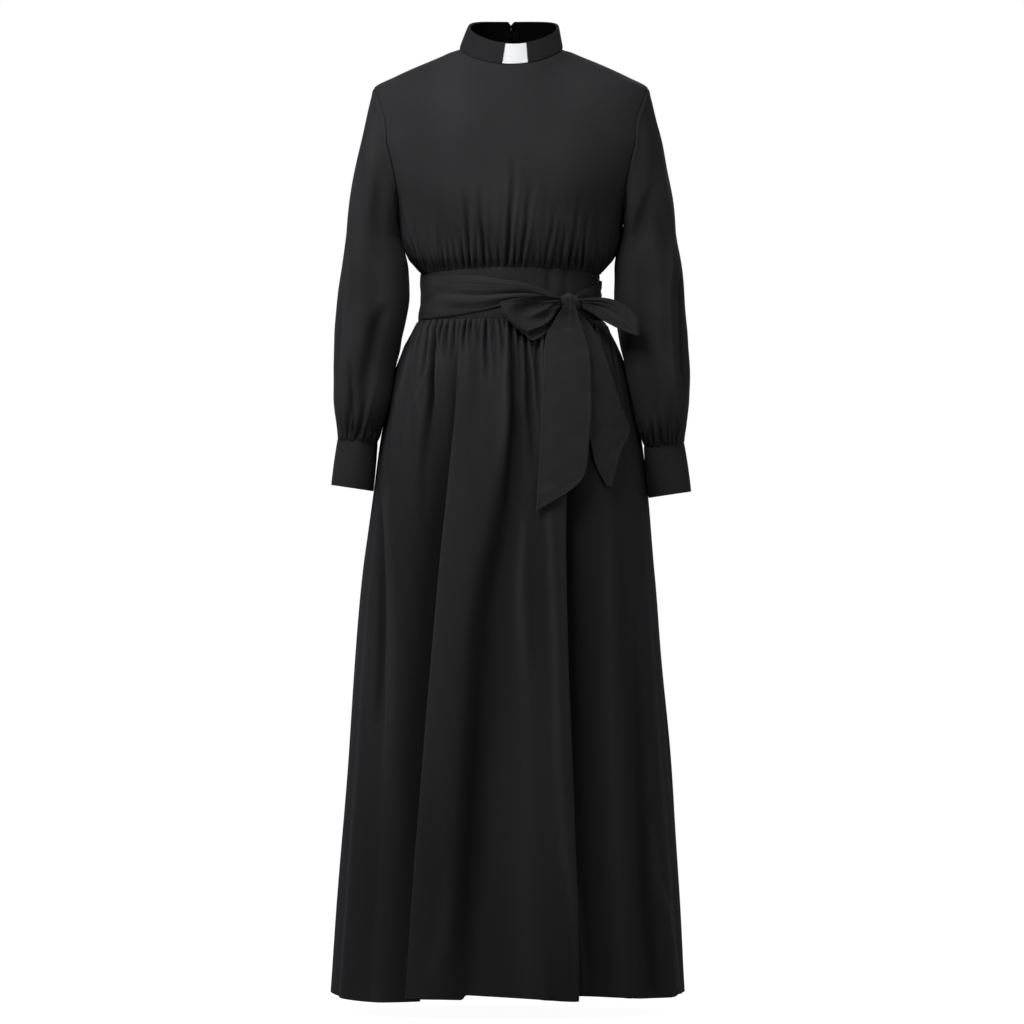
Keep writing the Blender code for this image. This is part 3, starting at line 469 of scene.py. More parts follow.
def makeCrepe(name, settings):
    low, high = settings["roughness"]
    finish = Finish(name, {
        "Roughness": low, "Sheen Weight": settings["sheen"], "Sheen Roughness": 0.45,
        "Sheen Tint": (0.80, 0.82, 0.90, 1), "Specular IOR Level": settings["gloss"],
    })
    flat = finish.add("ShaderNodeUVMap", {"uv_map": "clothMap"}, {})
    place = finish.add("ShaderNodeTexCoord", {}, {}, 3)
    across = finish.add("ShaderNodeSeparateXYZ", {}, {0: flat})
    down = Link(finish, across.socket.node.outputs[1])
    turns = math.tau / settings["thread"]
    # Crepe yarns are overtwisted, so the weave wanders and its surface pebbles
    wander = finish.noise(flat, 1 / 0.004, 1.0)
    pebble = finish.noise(flat, 1 / settings["pebble"], 3.0, 0.6)
    weave = (across * turns + wander * 5.0).sine() * (down * turns + wander * 4.0).sine() * 0.5 + pebble * 1.6
    mottle = finish.noise(place, 1 / settings["mottle"], 6.0, 0.65)
    slub = finish.noise(flat, 1 / settings["slub"], 3.0, 0.7)
    tone = finish.tint(mottle * 0.4 + slub * 0.6, settings["dark"], settings["light"])
    # Painted shade and highlight: the colour is darkened at the bottom of a crease and lightened along its
    # crest
    crest = finish.add("ShaderNodeAttribute", {"attribute_name": "crest"}, {}, 2)
    paintedShadeAndLight = finish.tint(crest, settings["paintedFoldShade"], settings["crest"])
    finish.set("Base Color", finish.add("ShaderNodeMix", {"data_type": "RGBA", "blend_type": "MULTIPLY"},
                                        {0: 1.0, 6: tone, 7: paintedShadeAndLight}, 2))
    finish.set("Roughness", mottle * (high - low) * 0.8 + pebble * (high - low) * 0.6 + (low - 0.02))
    finish.bump(settings["bump"], 0.00012, weave)
    return finish.material


def makeTab():
    finish = Finish("tabPlastic", {"Specular IOR Level": 0.35, "Sheen Weight": 0.05})
    place = finish.add("ShaderNodeTexCoord", {}, {}, 3)
    cloud, grain = finish.noise(place, 90.0, 3.0), finish.noise(place, 1800.0, 2.0)
    finish.set("Base Color", finish.tint(cloud * 0.7 + grain * 0.3, (0.92, 0.92, 0.945), (0.97, 0.97, 0.985)))
    finish.set("Roughness", grain * 0.16 + 0.42)
    finish.bump(0.12, 0.0001, grain)
    return finish.material


def makeEnamel(name, dark, light, coat=0.6, gloss=0.6):
    finish = Finish(name, {"Metallic": 0.0, "Coat Roughness": 0.25, "Specular IOR Level": gloss})
    place = finish.add("ShaderNodeTexCoord", {}, {}, 3)
    orange, wearAndPaintedLight = finish.noise(place, 2600.0, 2.0), finish.noise(place, 420.0, 5.0, 0.7)
    finish.set("Base Color", finish.tint(wearAndPaintedLight.do("SMOOTH_MIN", wearAndPaintedLight, 0.62, 0.1), dark, light))
    finish.set("Roughness", orange * 0.18 + wearAndPaintedLight * 0.15 + 0.18)
    finish.set("Coat Weight", coat - wearAndPaintedLight * 0.4)
    finish.bump(0.15, 0.00005, orange)
    return finish.material


# The crease factors multiply the colour: painted shade deep in a crease, a painted highlight on its crest
crepe = {
    "dark": (0.0178, 0.0173, 0.0188), "light": (0.0350, 0.0342, 0.0368), "roughness": (0.72, 0.88),
    "paintedFoldShade": (0.34, 0.34, 0.36), "crest": (1.34, 1.34, 1.32), "sheen": 0.05, "gloss": 0.22, "bump": 0.35,
    "thread": 0.00045, "pebble": 0.00075, "slub": 0.0028, "mottle": 0.045,
}
# The wrong side of the crepe is duller, and painted about ten times darker: painted shade inside the dress
crepeShadedInside = {
    **crepe, "dark": (0.0016, 0.0016, 0.0018), "light": (0.0040, 0.0040, 0.0044), "roughness": (0.90, 0.98),
    "sheen": 0.0, "gloss": 0.04,
}
finishes = {
    "black_crepe": makeCrepe("blackCrepe", crepe),
    "crepeShadedInside": makeCrepe("blackCrepeShadedInside", crepeShadedInside),
    "zipTape": makeCrepe("zipTapeWeave", {**crepeShadedInside, "thread": 0.0006, "pebble": 0.0016, "bump": 0.5}),
    "white_tab": makeTab(),
    "black_metal": makeEnamel("enamelledMetal", (0.010, 0.010, 0.011), (0.034, 0.034, 0.037)),
    "zipCoil": makeEnamel("zipCoilNylon", (0.0010, 0.0010, 0.0010), (0.0030, 0.0030, 0.0030), 0.1, 0.05),
}
print("finishes made")


# Bodice

bodice = {
    # The gathers that the front shows
    "gathers": [
        (-127.8, -151.9, 66, 2.6, 2.6), (-117.8, -133.4, 40, 1.6, 1.8), (-106.5, -123.5, 62, 1.2, 2.2),
        (-92.3, -103.6, 43, 1.8, 1.8), (-82.3, -92.3, 37, 1.2, 1.6), (-73.8, -83.8, 36, 1.7, 1.7),
        (-65.3, -78.1, 56, 1.7, 1.9), (-56.8, -65.3, 93, 2.2, 2.2), (-48.3, -52.5, 37, 1.3, 1.6),
        (-36.9, -45.4, 100, 2.6, 2.4), (-27, -32.7, 39, 1.6, 1.7), (-15.6, -19.9, 42, 1.7, 1.7),
        (-5.7, 5.7, 130, 3.4, 2.5), (4.3, 7.1, 36, 1.5, 1.6), (12.8, 29.8, 103, 2.7, 2.3),
        (22.7, 25.6, 27, 1.1, 1.5), (31.2, 34.1, 31, 1.3, 1.6), (46.8, 63.9, 74, 2, 2),
        (56.8, 65.3, 37, 1.4, 1.6), (68.1, 78.1, 44, 1.6, 1.8), (79.5, 100.8, 89, 2.2, 2.2),
        (89.4, 96.5, 31, 1.2, 1.6), (98, 112.1, 74, 2, 2), (106.5, 115, 33, 1.3, 1.6),
        (115, 124.9, 43, 1.6, 1.8), (124.9, 134.9, 33, 1.3, 1.8), (134.9, 143.4, 52, 1.9, 2.3),
    ],
    "neckColumns": 0.36, "armholeShare": 0.66, "columnTurn": 0.5,
    # The last entry paints the bodice's front a little lighter all over: painted light
    "frontColumns": 296, "backColumns": 96, "rows": (58, 64), "paintedShadeAndLight": 0.05,
}
backSteps = (0.0015, 0.003, 0.006, 0.010)  # close steps beside the seams of a back panel


def bodicePlace(side, flip=1):
    armholeShare, neckColumns = bodice["armholeShare"], bodice["neckColumns"]

    def place(across, row):
        share, tuck, row = np.abs(across), np.maximum(0, row - 1), np.minimum(1, row)
        turn = 90 * np.minimum(share, neckColumns) / neckColumns
        neck = neckline(turn if side == "front" else 180 - turn)
        shoulderX = mix(neckHalf, shoulderHalf, np.maximum(0, share - neckColumns) / (1 - neckColumns))
        onNeck, inArm = share <= neckColumns, row <= armholeShare
        topX = np.where(onNeck, neck[..., 0], shoulderX)
        topZ = np.where(onNeck, neck[..., 2], ridgeZ(shoulderX))
        edgeArm = armhole(np.minimum(1, row / armholeShare), side)
        belowArm = np.maximum(0, row - armholeShare) / (1 - armholeShare)
        edgeZ = mix(seams["underarm"], seams["waistTopSide"], belowArm)
        edgeX = np.where(inArm, edgeArm[..., 0], torsoLevels.at("halfWidth", edgeZ))
        edgeZ = np.where(inArm, edgeArm[..., 2], edgeZ)
        bottomAngle = 90 * share if side == "front" else 180 - 90 * share
        bottomZ = waistTop(bottomAngle) + 0.0003
        upper, lower = seams["shoulderPoint"], seams["waistTopSide"]
        z = mix(topZ, bottomZ, (edgeZ - upper) / (lower - upper))
        lowShare = np.sin(np.radians(90 * share)) ** (2 / torsoLevels.at("square", seams["waistTopSide"]))
        width = mix(topX / shoulderHalf, lowShare, smooth(row / bodice["columnTurn"])) * edgeX
        points = torso(width, z, side)
        # The blouse's lower edge rounds in to the waistband
        band = outline(waistLevels, bottomAngle, bottomZ + 0.0004)[0]
        near = np.exp(-((np.maximum(0, z - bottomZ) / 0.0042) ** 1.3)) * 0.55
        shift = (band - points) * np.array([1.0, 1.0, 0.0])
        points = points + shift * mix(near, 1.02, smooth(tuck))[..., None]
        points[..., 2] -= 0.0006 * np.sin(np.pi * tuck)
        points[..., 0] *= np.sign(across) * flip + (across == 0)
        return points

    return place


def outwards(points, u, v):
    return points * np.array([1.0, 1.0, 0.0])


def metricOf(points, most=5.0):
    along = np.gradient(points, axis=1)
    return np.clip(np.linalg.norm(along, axis=-1) / np.maximum(np.abs(along[..., 0]), 1e-6), 1, most)


def bodiceHeight(gathers, puckers, seed, behind=True):
    longer, deeper, near, far = (1.0, 1.6, 0.032, 0.12) if behind else (1.25, 1.5, 0.030, 0.11)

    def height(points, u, v):
        x, z = np.abs(points[..., 0]) if behind else points[..., 0], points[..., 2]
        away = np.maximum(0, z - waistTop(180 - 90 * np.abs(u) if behind else 90 * np.abs(u)))
        metric = metricOf(points)
        high = gatherField(x, away / longer, metric, gathers, deeper) + gatherField(x, away, metric, puckers)
        # Softer waves run on above the gathers, and the cloth above them is smooth
        soft = smooth((0.15 - away) / 0.13) * smooth(away / 0.02)
        high += soft * ripples(x, z, near, 0.0010, seed, 6.0)
        high += ripples(x, z, far, 0.0010, seed + 1, 1.6) * smooth(away / 0.05)
        return heldAbove(heldBySeams(high, points), points) * (1 - 0.6 * np.clip(v - 1, 0, 1))

    return height


def bodiceRows():
    upper, lower = bodice["rows"]
    armholeShare = bodice["armholeShare"]
    return np.concatenate([
        [0, 0.003, 0.007, 0.012], np.linspace(0.018, armholeShare, upper),
        np.linspace(armholeShare, 1, lower)[1:], [1.2, 1.45, 1.7, 2.0],
    ])


frontPuckers = unevenGathers(21, 62, -134, 137, (6, 20), (0.5, 1.2), (0.9, 1.4), 0.03)
frontPuckers += unevenGathers(23, 46, -130, 134, (24, 105), (0.9, 1.9), (1.0, 1.6), 0.09)
cloth("bodiceFront", clustered(-1, 1, bodice["frontColumns"]), bodiceRows(), bodicePlace("front"), outwards,
      bodiceHeight(bodice["gathers"], frontPuckers, 31, behind=False), "bodice_front",
      paintedShadeAndLight=bodice["paintedShadeAndLight"])
for name, flip, seed in (("Left", 1, 41), ("Right", -1, 51)):
    gathers = unevenGathers(seed, 13, 4, 128, (30, 110), (1.4, 3.0), (1.6, 2.6))
    puckers = unevenGathers(seed + 1, 26, 2, 130, (6, 20), (0.4, 1.0), (1.0, 1.6), 0.03)
    cloth(f"bodiceBack{name}", clustered(0, 1, bodice["backColumns"], backSteps), bodiceRows(),
          bodicePlace("back", flip), outwards, bodiceHeight(gathers, puckers, seed + 2),
          f"bodice_back_{name.lower()}")
print("bodice made")


# Skirt

skirt = {
    # The gathers that the front shows
    "gathers": [
        (-132, -143.4, 40, 1.8, 2.2), (-123.5, -140.5, 63, 2, 2.2), (-113.6, -130.6, 89, 1.8, 2.2),
        (-105, -117.8, 117, 3, 2.6), (-96.5, -106.5, 57, 1.8, 1.9), (-88, -95.1, 43, 2.4, 1.9),
        (-79.5, -83.8, 49, 1.8, 1.8), (-63.9, -69.6, 43, 1.7, 1.8), (-56.8, -58.2, 34, 1.4, 1.7),
        (-46.8, -48.3, 29, 1.2, 1.7), (-35.5, -34.1, 77, 2.8, 2.1), (-24.1, -24.1, 34, 1.8, 1.7),
        (-15.6, -9.9, 46, 1.9, 1.9), (-8.5, -5.7, 34, 1.4, 1.6), (0, 1.4, 157, 3.2, 2.8),
        (9.9, 12.8, 46, 1.8, 1.9), (18.5, 31.2, 163, 3, 2.6), (27, 32.7, 57, 1.6, 1.9),
        (36.9, 39.7, 120, 2.2, 2.4), (49.7, 53.9, 83, 1.8, 2.2), (59.6, 63.9, 43, 1.6, 1.8),
        (71, 78.1, 106, 2, 2.2), (82.3, 88, 43, 1.5, 1.8), (93.7, 102.2, 80, 1.8, 2),
        (105, 115, 49, 1.6, 1.8), (116.4, 129.2, 66, 1.9, 2), (126.3, 140.5, 40, 1.6, 1.8),
        (133.4, 150.5, 57, 1.8, 2),
    ],
    # The last entry paints the skirt's front a little darker all over: painted shade
    "frontColumns": 330, "backColumns": 126, "rows": (34, 92), "creaseDepth": 2.4, "paintedShadeAndLight": -0.05,
}
# Long creases of the front
skirtCreases = [
    [(-405, -108, 0, 2.5), (-430, -111, -2, 3), (-484, -113, -3, 4), (-530, -118, -3.2, 6),
     (-600, -125, -1.6, 9), (-680, -127, 0, 10)],
    [(-422, -108.8, 0, 2.5), (-456, -115.9, 1.6, 3), (-482, -128.6, 1.4, 4), (-515, -140, 0, 5)],
    [(-415, -141.3, 0, 3), (-456, -148.4, 1.5, 4), (-496, -159.7, 1.2, 5), (-543, -171.1, 0, 6)],
    [(-598, -178.1, 0, 5), (-670, -176.7, 2, 6), (-803, -171, 2.6, 6.5), (-918, -169.6, 2.4, 7),
     (-1065, -179.5, 0, 9)],
    [(-613, -189.4, 0, 7), (-726, -185.2, -2.6, 8), (-811, -183.8, -2.8, 9), (-895, -185.2, -2.4, 9),
     (-980, -190.8, 0, 10)],
    [(-420, 29.7, -0.6, 3), (-503, 29.7, -1.6, 5), (-557, 33.9, -1.2, 6), (-613, 35.4, 0, 8)],
    [(-500, 10, 0, 9), (-578, 5.2, -3.4, 13), (-642, -0.4, -5.6, 16.5), (-698, -9, -6.2, 19),
     (-761, -22, -6.6, 20.5), (-842, -32.4, -6.6, 21.5), (-924, -38.1, -6.2, 21), (-1049, -47.9, -5.6, 19),
     (-1177, -57.8, -4.6, 17), (-1262, -64.9, -3, 16), (-1303, -66.3, -2, 16), (-1345, -68, -1, 16)],
    [(-1150, -83, 0, 9), (-1235, -90, 0.9, 11), (-1301, -104, 0.8, 12), (-1340, -112, 0, 12)],
    [(-642, 17, 0, 8), (-698, 15.6, 2, 9), (-755, 14.1, 2.4, 9), (-846, 18.4, 2.2, 10), (-924, 24, 1.5, 14),
     (-1065, 26.8, 1.2, 16), (-1206, 29.6, 1.2, 18), (-1345, 33.8, 1, 20)],
    [(-642, 55.1, 0, 6), (-684, 56.5, 1.6, 6), (-769, 60.8, 2, 6), (-863, 65, 2, 7), (-998, 69.2, 2, 8),
     (-1139, 79, 2, 8), (-1234, 93.1, 1.6, 8), (-1340, 101.4, 1, 8)],
    [(-642, 137, 0, 10), (-726, 139.9, 1.5, 12), (-924, 143.9, 1.8, 14), (-1135, 150.8, 1.5, 16),
     (-1345, 160.4, 1.2, 18)],
    [(-1093, 196, 0, 10), (-1178, 205.8, 1.4, 11), (-1234, 220, 1.7, 12), (-1345, 238, 1.4, 12)],
    [(-783, 176.6, 0, 10), (-1008, 182, -1.5, 12), (-1178, 188.8, -1.8, 12), (-1345, 202.6, -1.5, 12)],
]
# Laps: the middle panel stands over its neighbours along both edges, and a narrower fold over it from above
skirtLaps = [
    [(-405, -74.5, 0, 5.5), (-452, -75.7, 6, 8), (-520, -78.2, 13, 12.5), (-594, -84.1, 20.5, 19),
     (-653, -89.9, 26.2, 24), (-697, -94.5, 30, 27), (-842, -103, 32.5, 29), (-958, -108.7, 28.5, 29),
     (-1072, -118.5, 18, 26), (-1188, -125.6, 10.5, 23), (-1303, -131.2, 3.4, 19), (-1345, -133, 0, 17.5)],
    [(-500, 79, 0, 7.4), (-600, 81.2, -14, 13.8), (-700, 81.8, -24.5, 19.3), (-850, 81.8, -28, 22.1),
     (-958, 83.8, -26.2, 22.1), (-1072, 91.3, -14.9, 21.2), (-1188, 97.4, -9.5, 19.3),
     (-1303, 103, -4.1, 17.5), (-1345, 104.5, -2, 16.6)],
    [(-400, 3.6, 0, 3.7), (-430, 2.5, -9, 7.4), (-472, 1.4, -13.5, 10.5), (-530, -0.8, -13, 13.5),
     (-578, -4.2, -8.5, 15), (-642, -8.5, -2, 16), (-680, -10.5, 0, 16)],
]
# Long creases of the back, by distance from the middle
skirtBackCreases = {
    "Left": [
        [(-410, 18, 0, 3), (-470, 20, -2.6, 4.5), (-600, 26, -2.8, 8), (-760, 30, 0, 12)],
        [(-405, 52, 0, 3), (-450, 55, -2.2, 4), (-540, 64, -2, 6.5), (-640, 70, 0, 10)],
        [(-430, 88, 0, 3.5), (-520, 96, -2.4, 6), (-700, 108, -2.6, 10), (-930, 119, 0, 14)],
        [(-640, 48, 0, 8), (-780, 52, 2.2, 11), (-1000, 60, 2.4, 14), (-1345, 70, 1, 17)],
        [(-700, 142, 0, 8), (-860, 152, 2, 10), (-1080, 164, 1.8, 13), (-1300, 174, 0, 15)],
        [(-880, 95, 0, 9), (-1050, 101, -2.4, 12), (-1345, 115, -1.2, 14)],
    ],
    "Right": [
        [(-405, 30, 0, 3), (-460, 33, -2.8, 4.5), (-580, 38, -2.4, 8), (-690, 40, 0, 11)],
        [(-420, 70, 0, 3.5), (-500, 78, -2.4, 6), (-660, 88, -2.8, 10), (-850, 96, 0, 13)],
        [(-410, 108, 0, 3), (-470, 118, -2, 4.5), (-570, 132, 0, 7)],
        [(-620, 20, 0, 8), (-740, 23, 1.8, 11), (-980, 33, 2.2, 14), (-1345, 44, 1.2, 16)],
        [(-740, 132, 0, 8), (-900, 144, 2.2, 11), (-1160, 160, 1.6, 14), (-1345, 170, 0.8, 15)],
        [(-900, 76, 0, 9), (-1120, 86, -2.6, 12), (-1345, 96, -1.4, 14)],
    ],
}
# How far the fold at the left of the middle wanders round the skirt above the hem, in degrees
foldWander = Levels(
    "z degrees",
    (-1345, 0), (-1190, 0.2), (-1070, 1), (-960, 2), (-850, 3.1), (-650, 4.4), (-400, 4.4),
)


def skirtOut(points, angle, row):
    return outline(skirtLevels, angle, seams["waistBottom"] - np.maximum(row, 0))[1]


def skirtPlace(angle, row):
    # row below 0 is the part that is turned in under the waistband
    tuck = np.clip(-row, 0, 1)
    z = seams["waistBottom"] - 0.0004 - np.maximum(row, 0)
    points, out = outline(skirtLevels, angle, z)
    grown = np.maximum(0.0, (-0.400 - z) / (-0.400 - seams["hem"])) ** 0.9
    sideways = spots(-out[..., 1], out[..., 0], 0)
    turned = angle - foldWander.at("degrees", z) * hump((angle + 29) / 12)
    points = points + out * (hemFolds.at("out", turned) * grown)[..., None]
    points += sideways * (hemFolds.at("lean", turned) * grown)[..., None]
    points[..., 0] += skirtLevels.at("middle", z)
    points[..., 2] += hemFolds.at("rise", turned) * grown
    band = outline(waistLevels, angle, np.full_like(z, seams["waistBottom"] + 0.0008))[0]
    return mix(points, band, smooth(tuck)[..., None])


def skirtRows():
    upper, lower = skirt["rows"]
    fall = seams["waistBottom"] - 0.0004 - seams["hem"]
    return np.concatenate([
        [-1, -0.7, -0.4, -0.15], np.linspace(0, 0.060, upper),
        mix(0.060, fall, np.linspace(0, 1, lower)[1:-1] ** 1.15), [fall - 0.0022, fall - 0.0009, fall],
    ])


def skirtHeight(gathers, puckers, creases, seed, laps=(), longer=1.0, deeper=(1.6, 1.0),
                waves=(0.0011, 0.0013)):
    def height(points, u, v):
        # Only the front has laps, and the back's creases go by distance from its middle
        x, z = points[..., 0] if laps else np.abs(points[..., 0]), points[..., 2]
        away = np.maximum(0, v)
        base = outline(skirtLevels, u, np.broadcast_to(seams["waistBottom"] - away, u.shape))[0]
        metric = metricOf(base)
        high = gatherField(x, away / longer, metric, gathers, deeper[0])
        high += gatherField(x, away, metric, puckers, deeper[1]) + lapField(base[..., 0], z, metric, laps)
        high += creaseField(x, z, metric, creases, skirt["creaseDepth"])
        soft = smooth((0.30 - away) / 0.26) * smooth(away / 0.03)
        high += soft * ripples(x * metric**0.5, z, 0.034, waves[0], seed, 7.0)
        high += smooth(away / 0.15) * ripples(x, z, 0.10, waves[1], seed + 1, 4.0)
        # The hem is turned up inside, so a faint line runs round where its edge is sewn
        high -= 0.0006 * hump((z - seams["hem"] - 0.030) / 0.0022)
        return heldBySeams(high, points) * (1 - 0.6 * np.clip(-v, 0, 1))

    return height


skirtPuckers = unevenGathers(61, 60, -134, 134, (6, 22), (0.5, 1.2), (1.0, 1.5), 0.06)
skirtPuckers += unevenGathers(63, 42, -132, 132, (26, 130), (1.2, 2.6), (1.2, 2.0), 0.11)
skirtFolds = skirtHeight(skirt["gathers"], skirtPuckers, skirtCreases, 62, skirtLaps, 1.3, (2.6, 1.15),
                         (0.0010, 0.0012))
cloth("skirtFront", clustered(-90, 90, skirt["frontColumns"]), skirtRows(), skirtPlace, skirtOut, skirtFolds,
      "skirt_front", exact=True,
      paintedShadeAndLight=skirt["paintedShadeAndLight"])
for name, ends, seed in (("Left", (90, 180), 71), ("Right", (-180, -90), 81)):
    gathers = unevenGathers(seed, 15, 3, 130, (40, 150), (1.6, 3.2), (1.8, 2.8), 0.14)
    puckers = unevenGathers(seed + 1, 28, 2, 131, (6, 22), (0.4, 1.0), (1.0, 1.6), 0.06)
    columns = clustered(*ends, skirt["backColumns"], backSteps)
    folds = skirtHeight(gathers, puckers, skirtBackCreases[name], seed + 2)
    cloth(f"skirtBack{name}", columns, skirtRows(), skirtPlace, skirtOut, folds, f"skirt_back_{name.lower()}",
          exact=True)
print("skirt made")


# Waistband

waistband = {"wall": 0.0020, "rows": 22, "frontColumns": 190, "backColumns": 76}


def bandPlace(angle, drop):
    top = waistTop(angle) + 0.0003
    return outline(waistLevels, angle, mix(top, seams["waistBottom"], drop))[0]


# Dents that the knot pulls into the band above it
bandDents = [
    [(-303, 53.5, 0, 3.6), (-318, 52.6, -2.4, 3.6), (-342, 52, -2.4, 4.2), (-360, 52, 0, 4.5)],
    [(-303, 65, 0, 5), (-320, 64.5, 1, 5), (-342, 64, 1, 5), (-360, 64, 0, 5)],
    [(-305, 77.5, 0, 3.6), (-320, 76.8, -2, 3.6), (-345, 76.2, -2, 4.2), (-362, 76, 0, 4.5)],
]


def bandHeight(seed):
    def height(points, u, v):
        s, z = np.radians(u) * 0.11, points[..., 2]
        # The band is fullest along its middle, with seams drawn in at both edges and dents from the gathers
        high = 0.0005 * np.sin(np.pi * v) - 0.0014 * (np.exp(-v / 0.035) + np.exp(-(1 - v) / 0.035))
        high += ripples(s, z * 0.3, 0.013, 0.00025, seed) * np.abs(2 * v - 1) ** 0.7
        high += ripples(s, z, 0.05, 0.0003, seed + 1)
        high += (0.0005 + ripples(s, z * 0.2, 0.0085, 0.0005, seed + 4)) * hump((v - 0.045) / 0.05)
        high += creaseField(points[..., 0], z, 1.0, bandDents) * (points[..., 1] < 0)
        edge = lengthAlong(points, 1)
        return high + seamDip(edge - edge[:, :1], 0.0008) + seamDip(edge[:, -1:] - edge, 0.0008)

    return height


bandRows = clustered(0, 1, waistband["rows"], (0.01, 0.022, 0.04))
for name, ends, seed, width in (("Front", (-90, 90), 91, 0.36), ("BackLeft", (90, 180), 93, 0.175),
                                ("BackRight", (-180, -90), 95, 0.175)):
    front = name == "Front"
    columns = clustered(*ends, waistband["frontColumns" if front else "backColumns"])
    cloth(f"waistband{name}", columns, bandRows, bandPlace, outwards, bandHeight(seed),
          "waistband_" + name.replace("Back", "back_").lower(),
          waistband["wall"])
print("waistband made")


# Sleeves and cuffs

sleeveLevels = Levels(
    "z inner outer halfDepth middleY",
    (-262, 157, 236.2, 60, -2), (-309, 147.5, 242.4, 60, -4), (-343, 147, 246.2, 59, -5),
    (-378, 150.5, 248.8, 58.5, -6), (-412, 156, 252, 58, -7), (-463, 164, 254.8, 57.5, -8),
    (-498, 170.5, 254.8, 56, -9), (-515, 176, 253.5, 54, -9), (-532, 181.5, 250.8, 49, -9),
    (-545, 187, 247.8, 42, -9), (-555, 191.5, 246.2, 36.5, -9),
)
sleeve = {
    "top": -0.262, "end": -0.555, "square": 2.5, "tilt": 0.10, "capFree": -0.110, "around": 0.28,
    "wristX": 0.2189, "wristY": -0.009, "columns": 134, "rows": (48, 84),
    "gatherDepth": (1.7, 1.6), "creaseDepth": 2.4, "pressDepth": 1.9,
    "sides": {
        "Left": {"flip": 1, "drop": 0.0060, "cuff": 0.0725, "seed": 101, "cuffSeed": 121},
        "Right": {"flip": -1, "drop": 0.0, "cuff": 0.0690, "seed": 111, "cuffSeed": 125},
    },
}
# Gathers into the cuff and long creases that the front shows, by distance from the middle of the dress
sleeveGathers = {
    "Right": [
        (233, 227.5, 90, 2.2, 2.4), (220.6, 199, 98, 2.8, 2.6), (204.5, 186, 30, 1.8, 2),
        (236.5, 238, 20, 1.2, 1.5), (227.5, 226, 26, 1.3, 1.5), (215, 212, 30, 1.4, 1.5),
        (210, 207, 22, 1.1, 1.4), (200, 195, 34, 1.4, 1.6), (195.5, 190, 24, 1.2, 1.5),
    ],
    "Left": [
        (215.5, 206, 66, 2.6, 2.4), (205, 199, 60, 2.2, 2.6), (198.5, 196, 26, 1.2, 1.5),
        (211, 209, 20, 1.1, 1.4), (222.5, 223.5, 34, 1.5, 1.6), (229, 231, 24, 1.3, 1.6),
        (234, 238, 45, 1.6, 1.8), (240, 245, 22, 1.2, 1.5), (194, 188, 35, 1.4, 1.8),
    ],
}
sleeveCreases = {
    "Right": [
        [(-245, 228.6, 0, 4.5), (-310, 231.4, 1.6, 5), (-403, 237, 1.8, 5), (-485, 240.6, 1.5, 4.8),
         (-541, 234.2, 0, 3.5)],
        [(-360, 180, 0, 8), (-400, 193, -2.8, 9), (-440, 201, -3, 9), (-490, 211, -1.4, 7),
         (-520, 215, 0, 6)],
        [(-430, 229, 0, 3), (-470, 228.5, -1.4, 3.4), (-520, 225, -1.8, 3.2), (-552, 223.5, -1.4, 2.6)],
        [(-160, 196, 0, 10), (-230, 190, -1.4, 11), (-320, 190, 0, 11)],
    ],
    "Left": [
        [(-232, 232.8, 0, 4.5), (-308, 228.6, 1.6, 5), (-351, 225.8, 1.8, 5), (-445, 230, 1.8, 5),
         (-494, 235.6, 1.4, 4.8), (-538, 239.8, 0, 4)],
        [(-270, 244, 0, 4), (-355, 242.7, -1.6, 5), (-445, 244.1, -1.5, 5), (-498, 248.4, 0, 5)],
        [(-185, 204.4, 0, 9), (-246, 183.1, -1.7, 10), (-303, 164.7, 0, 10)],
    ],
}


def sleeveMiddle(z):
    return (sleeveLevels.at("inner", z) + sleeveLevels.at("outer", z)) / 2


def sleeveRing(turn, z):
    half = (sleeveLevels.at("outer", z) - sleeveLevels.at("inner", z)) / 2
    x = signedPower(np.cos(math.tau * turn), 2 / sleeve["square"]) * half
    y = signedPower(np.sin(math.tau * turn), 2 / sleeve["square"]) * sleeveLevels.at("halfDepth", z)
    return spots(sleeveMiddle(z) + x, sleeveLevels.at("middleY", z) - y, z + sleeve["tilt"] * x)


def clearOfBody(points):
    # Keeps a sleeve clear of the bodice, the sash and the skirt
    x, y, z = (points[..., i] for i in range(3))
    clearance = mix(0.0001, 0.0050, smooth((-0.292 - z) / 0.05))
    clearance = clearance - 0.0060 * smooth((z + 0.158) / 0.046) - 0.0022 * smooth((-0.500 - z) / 0.030)
    least = np.full_like(x, -1.0)
    for table, bottom, top in (
        (torsoLevels, seams["waistTopSide"], sleeve["capFree"]),
        (waistLevels, seams["waistBottom"], seams["waistTopSide"]),
        (skirtLevels, -9.0, seams["waistBottom"]),
    ):
        halfWidth = table.at("halfWidth", z) + clearance
        reach = np.where(y < 0, table.at("front", z), table.at("back", z)) + clearance
        power = table.at("square", z)
        share = np.minimum(1, np.abs(y) / reach)
        edge = halfWidth * (1 - share**power) ** (1 / power)
        least = np.where((z > bottom) & (z <= top) & (share < 1), edge, least)
    return spots(np.maximum(x, least), y, z)


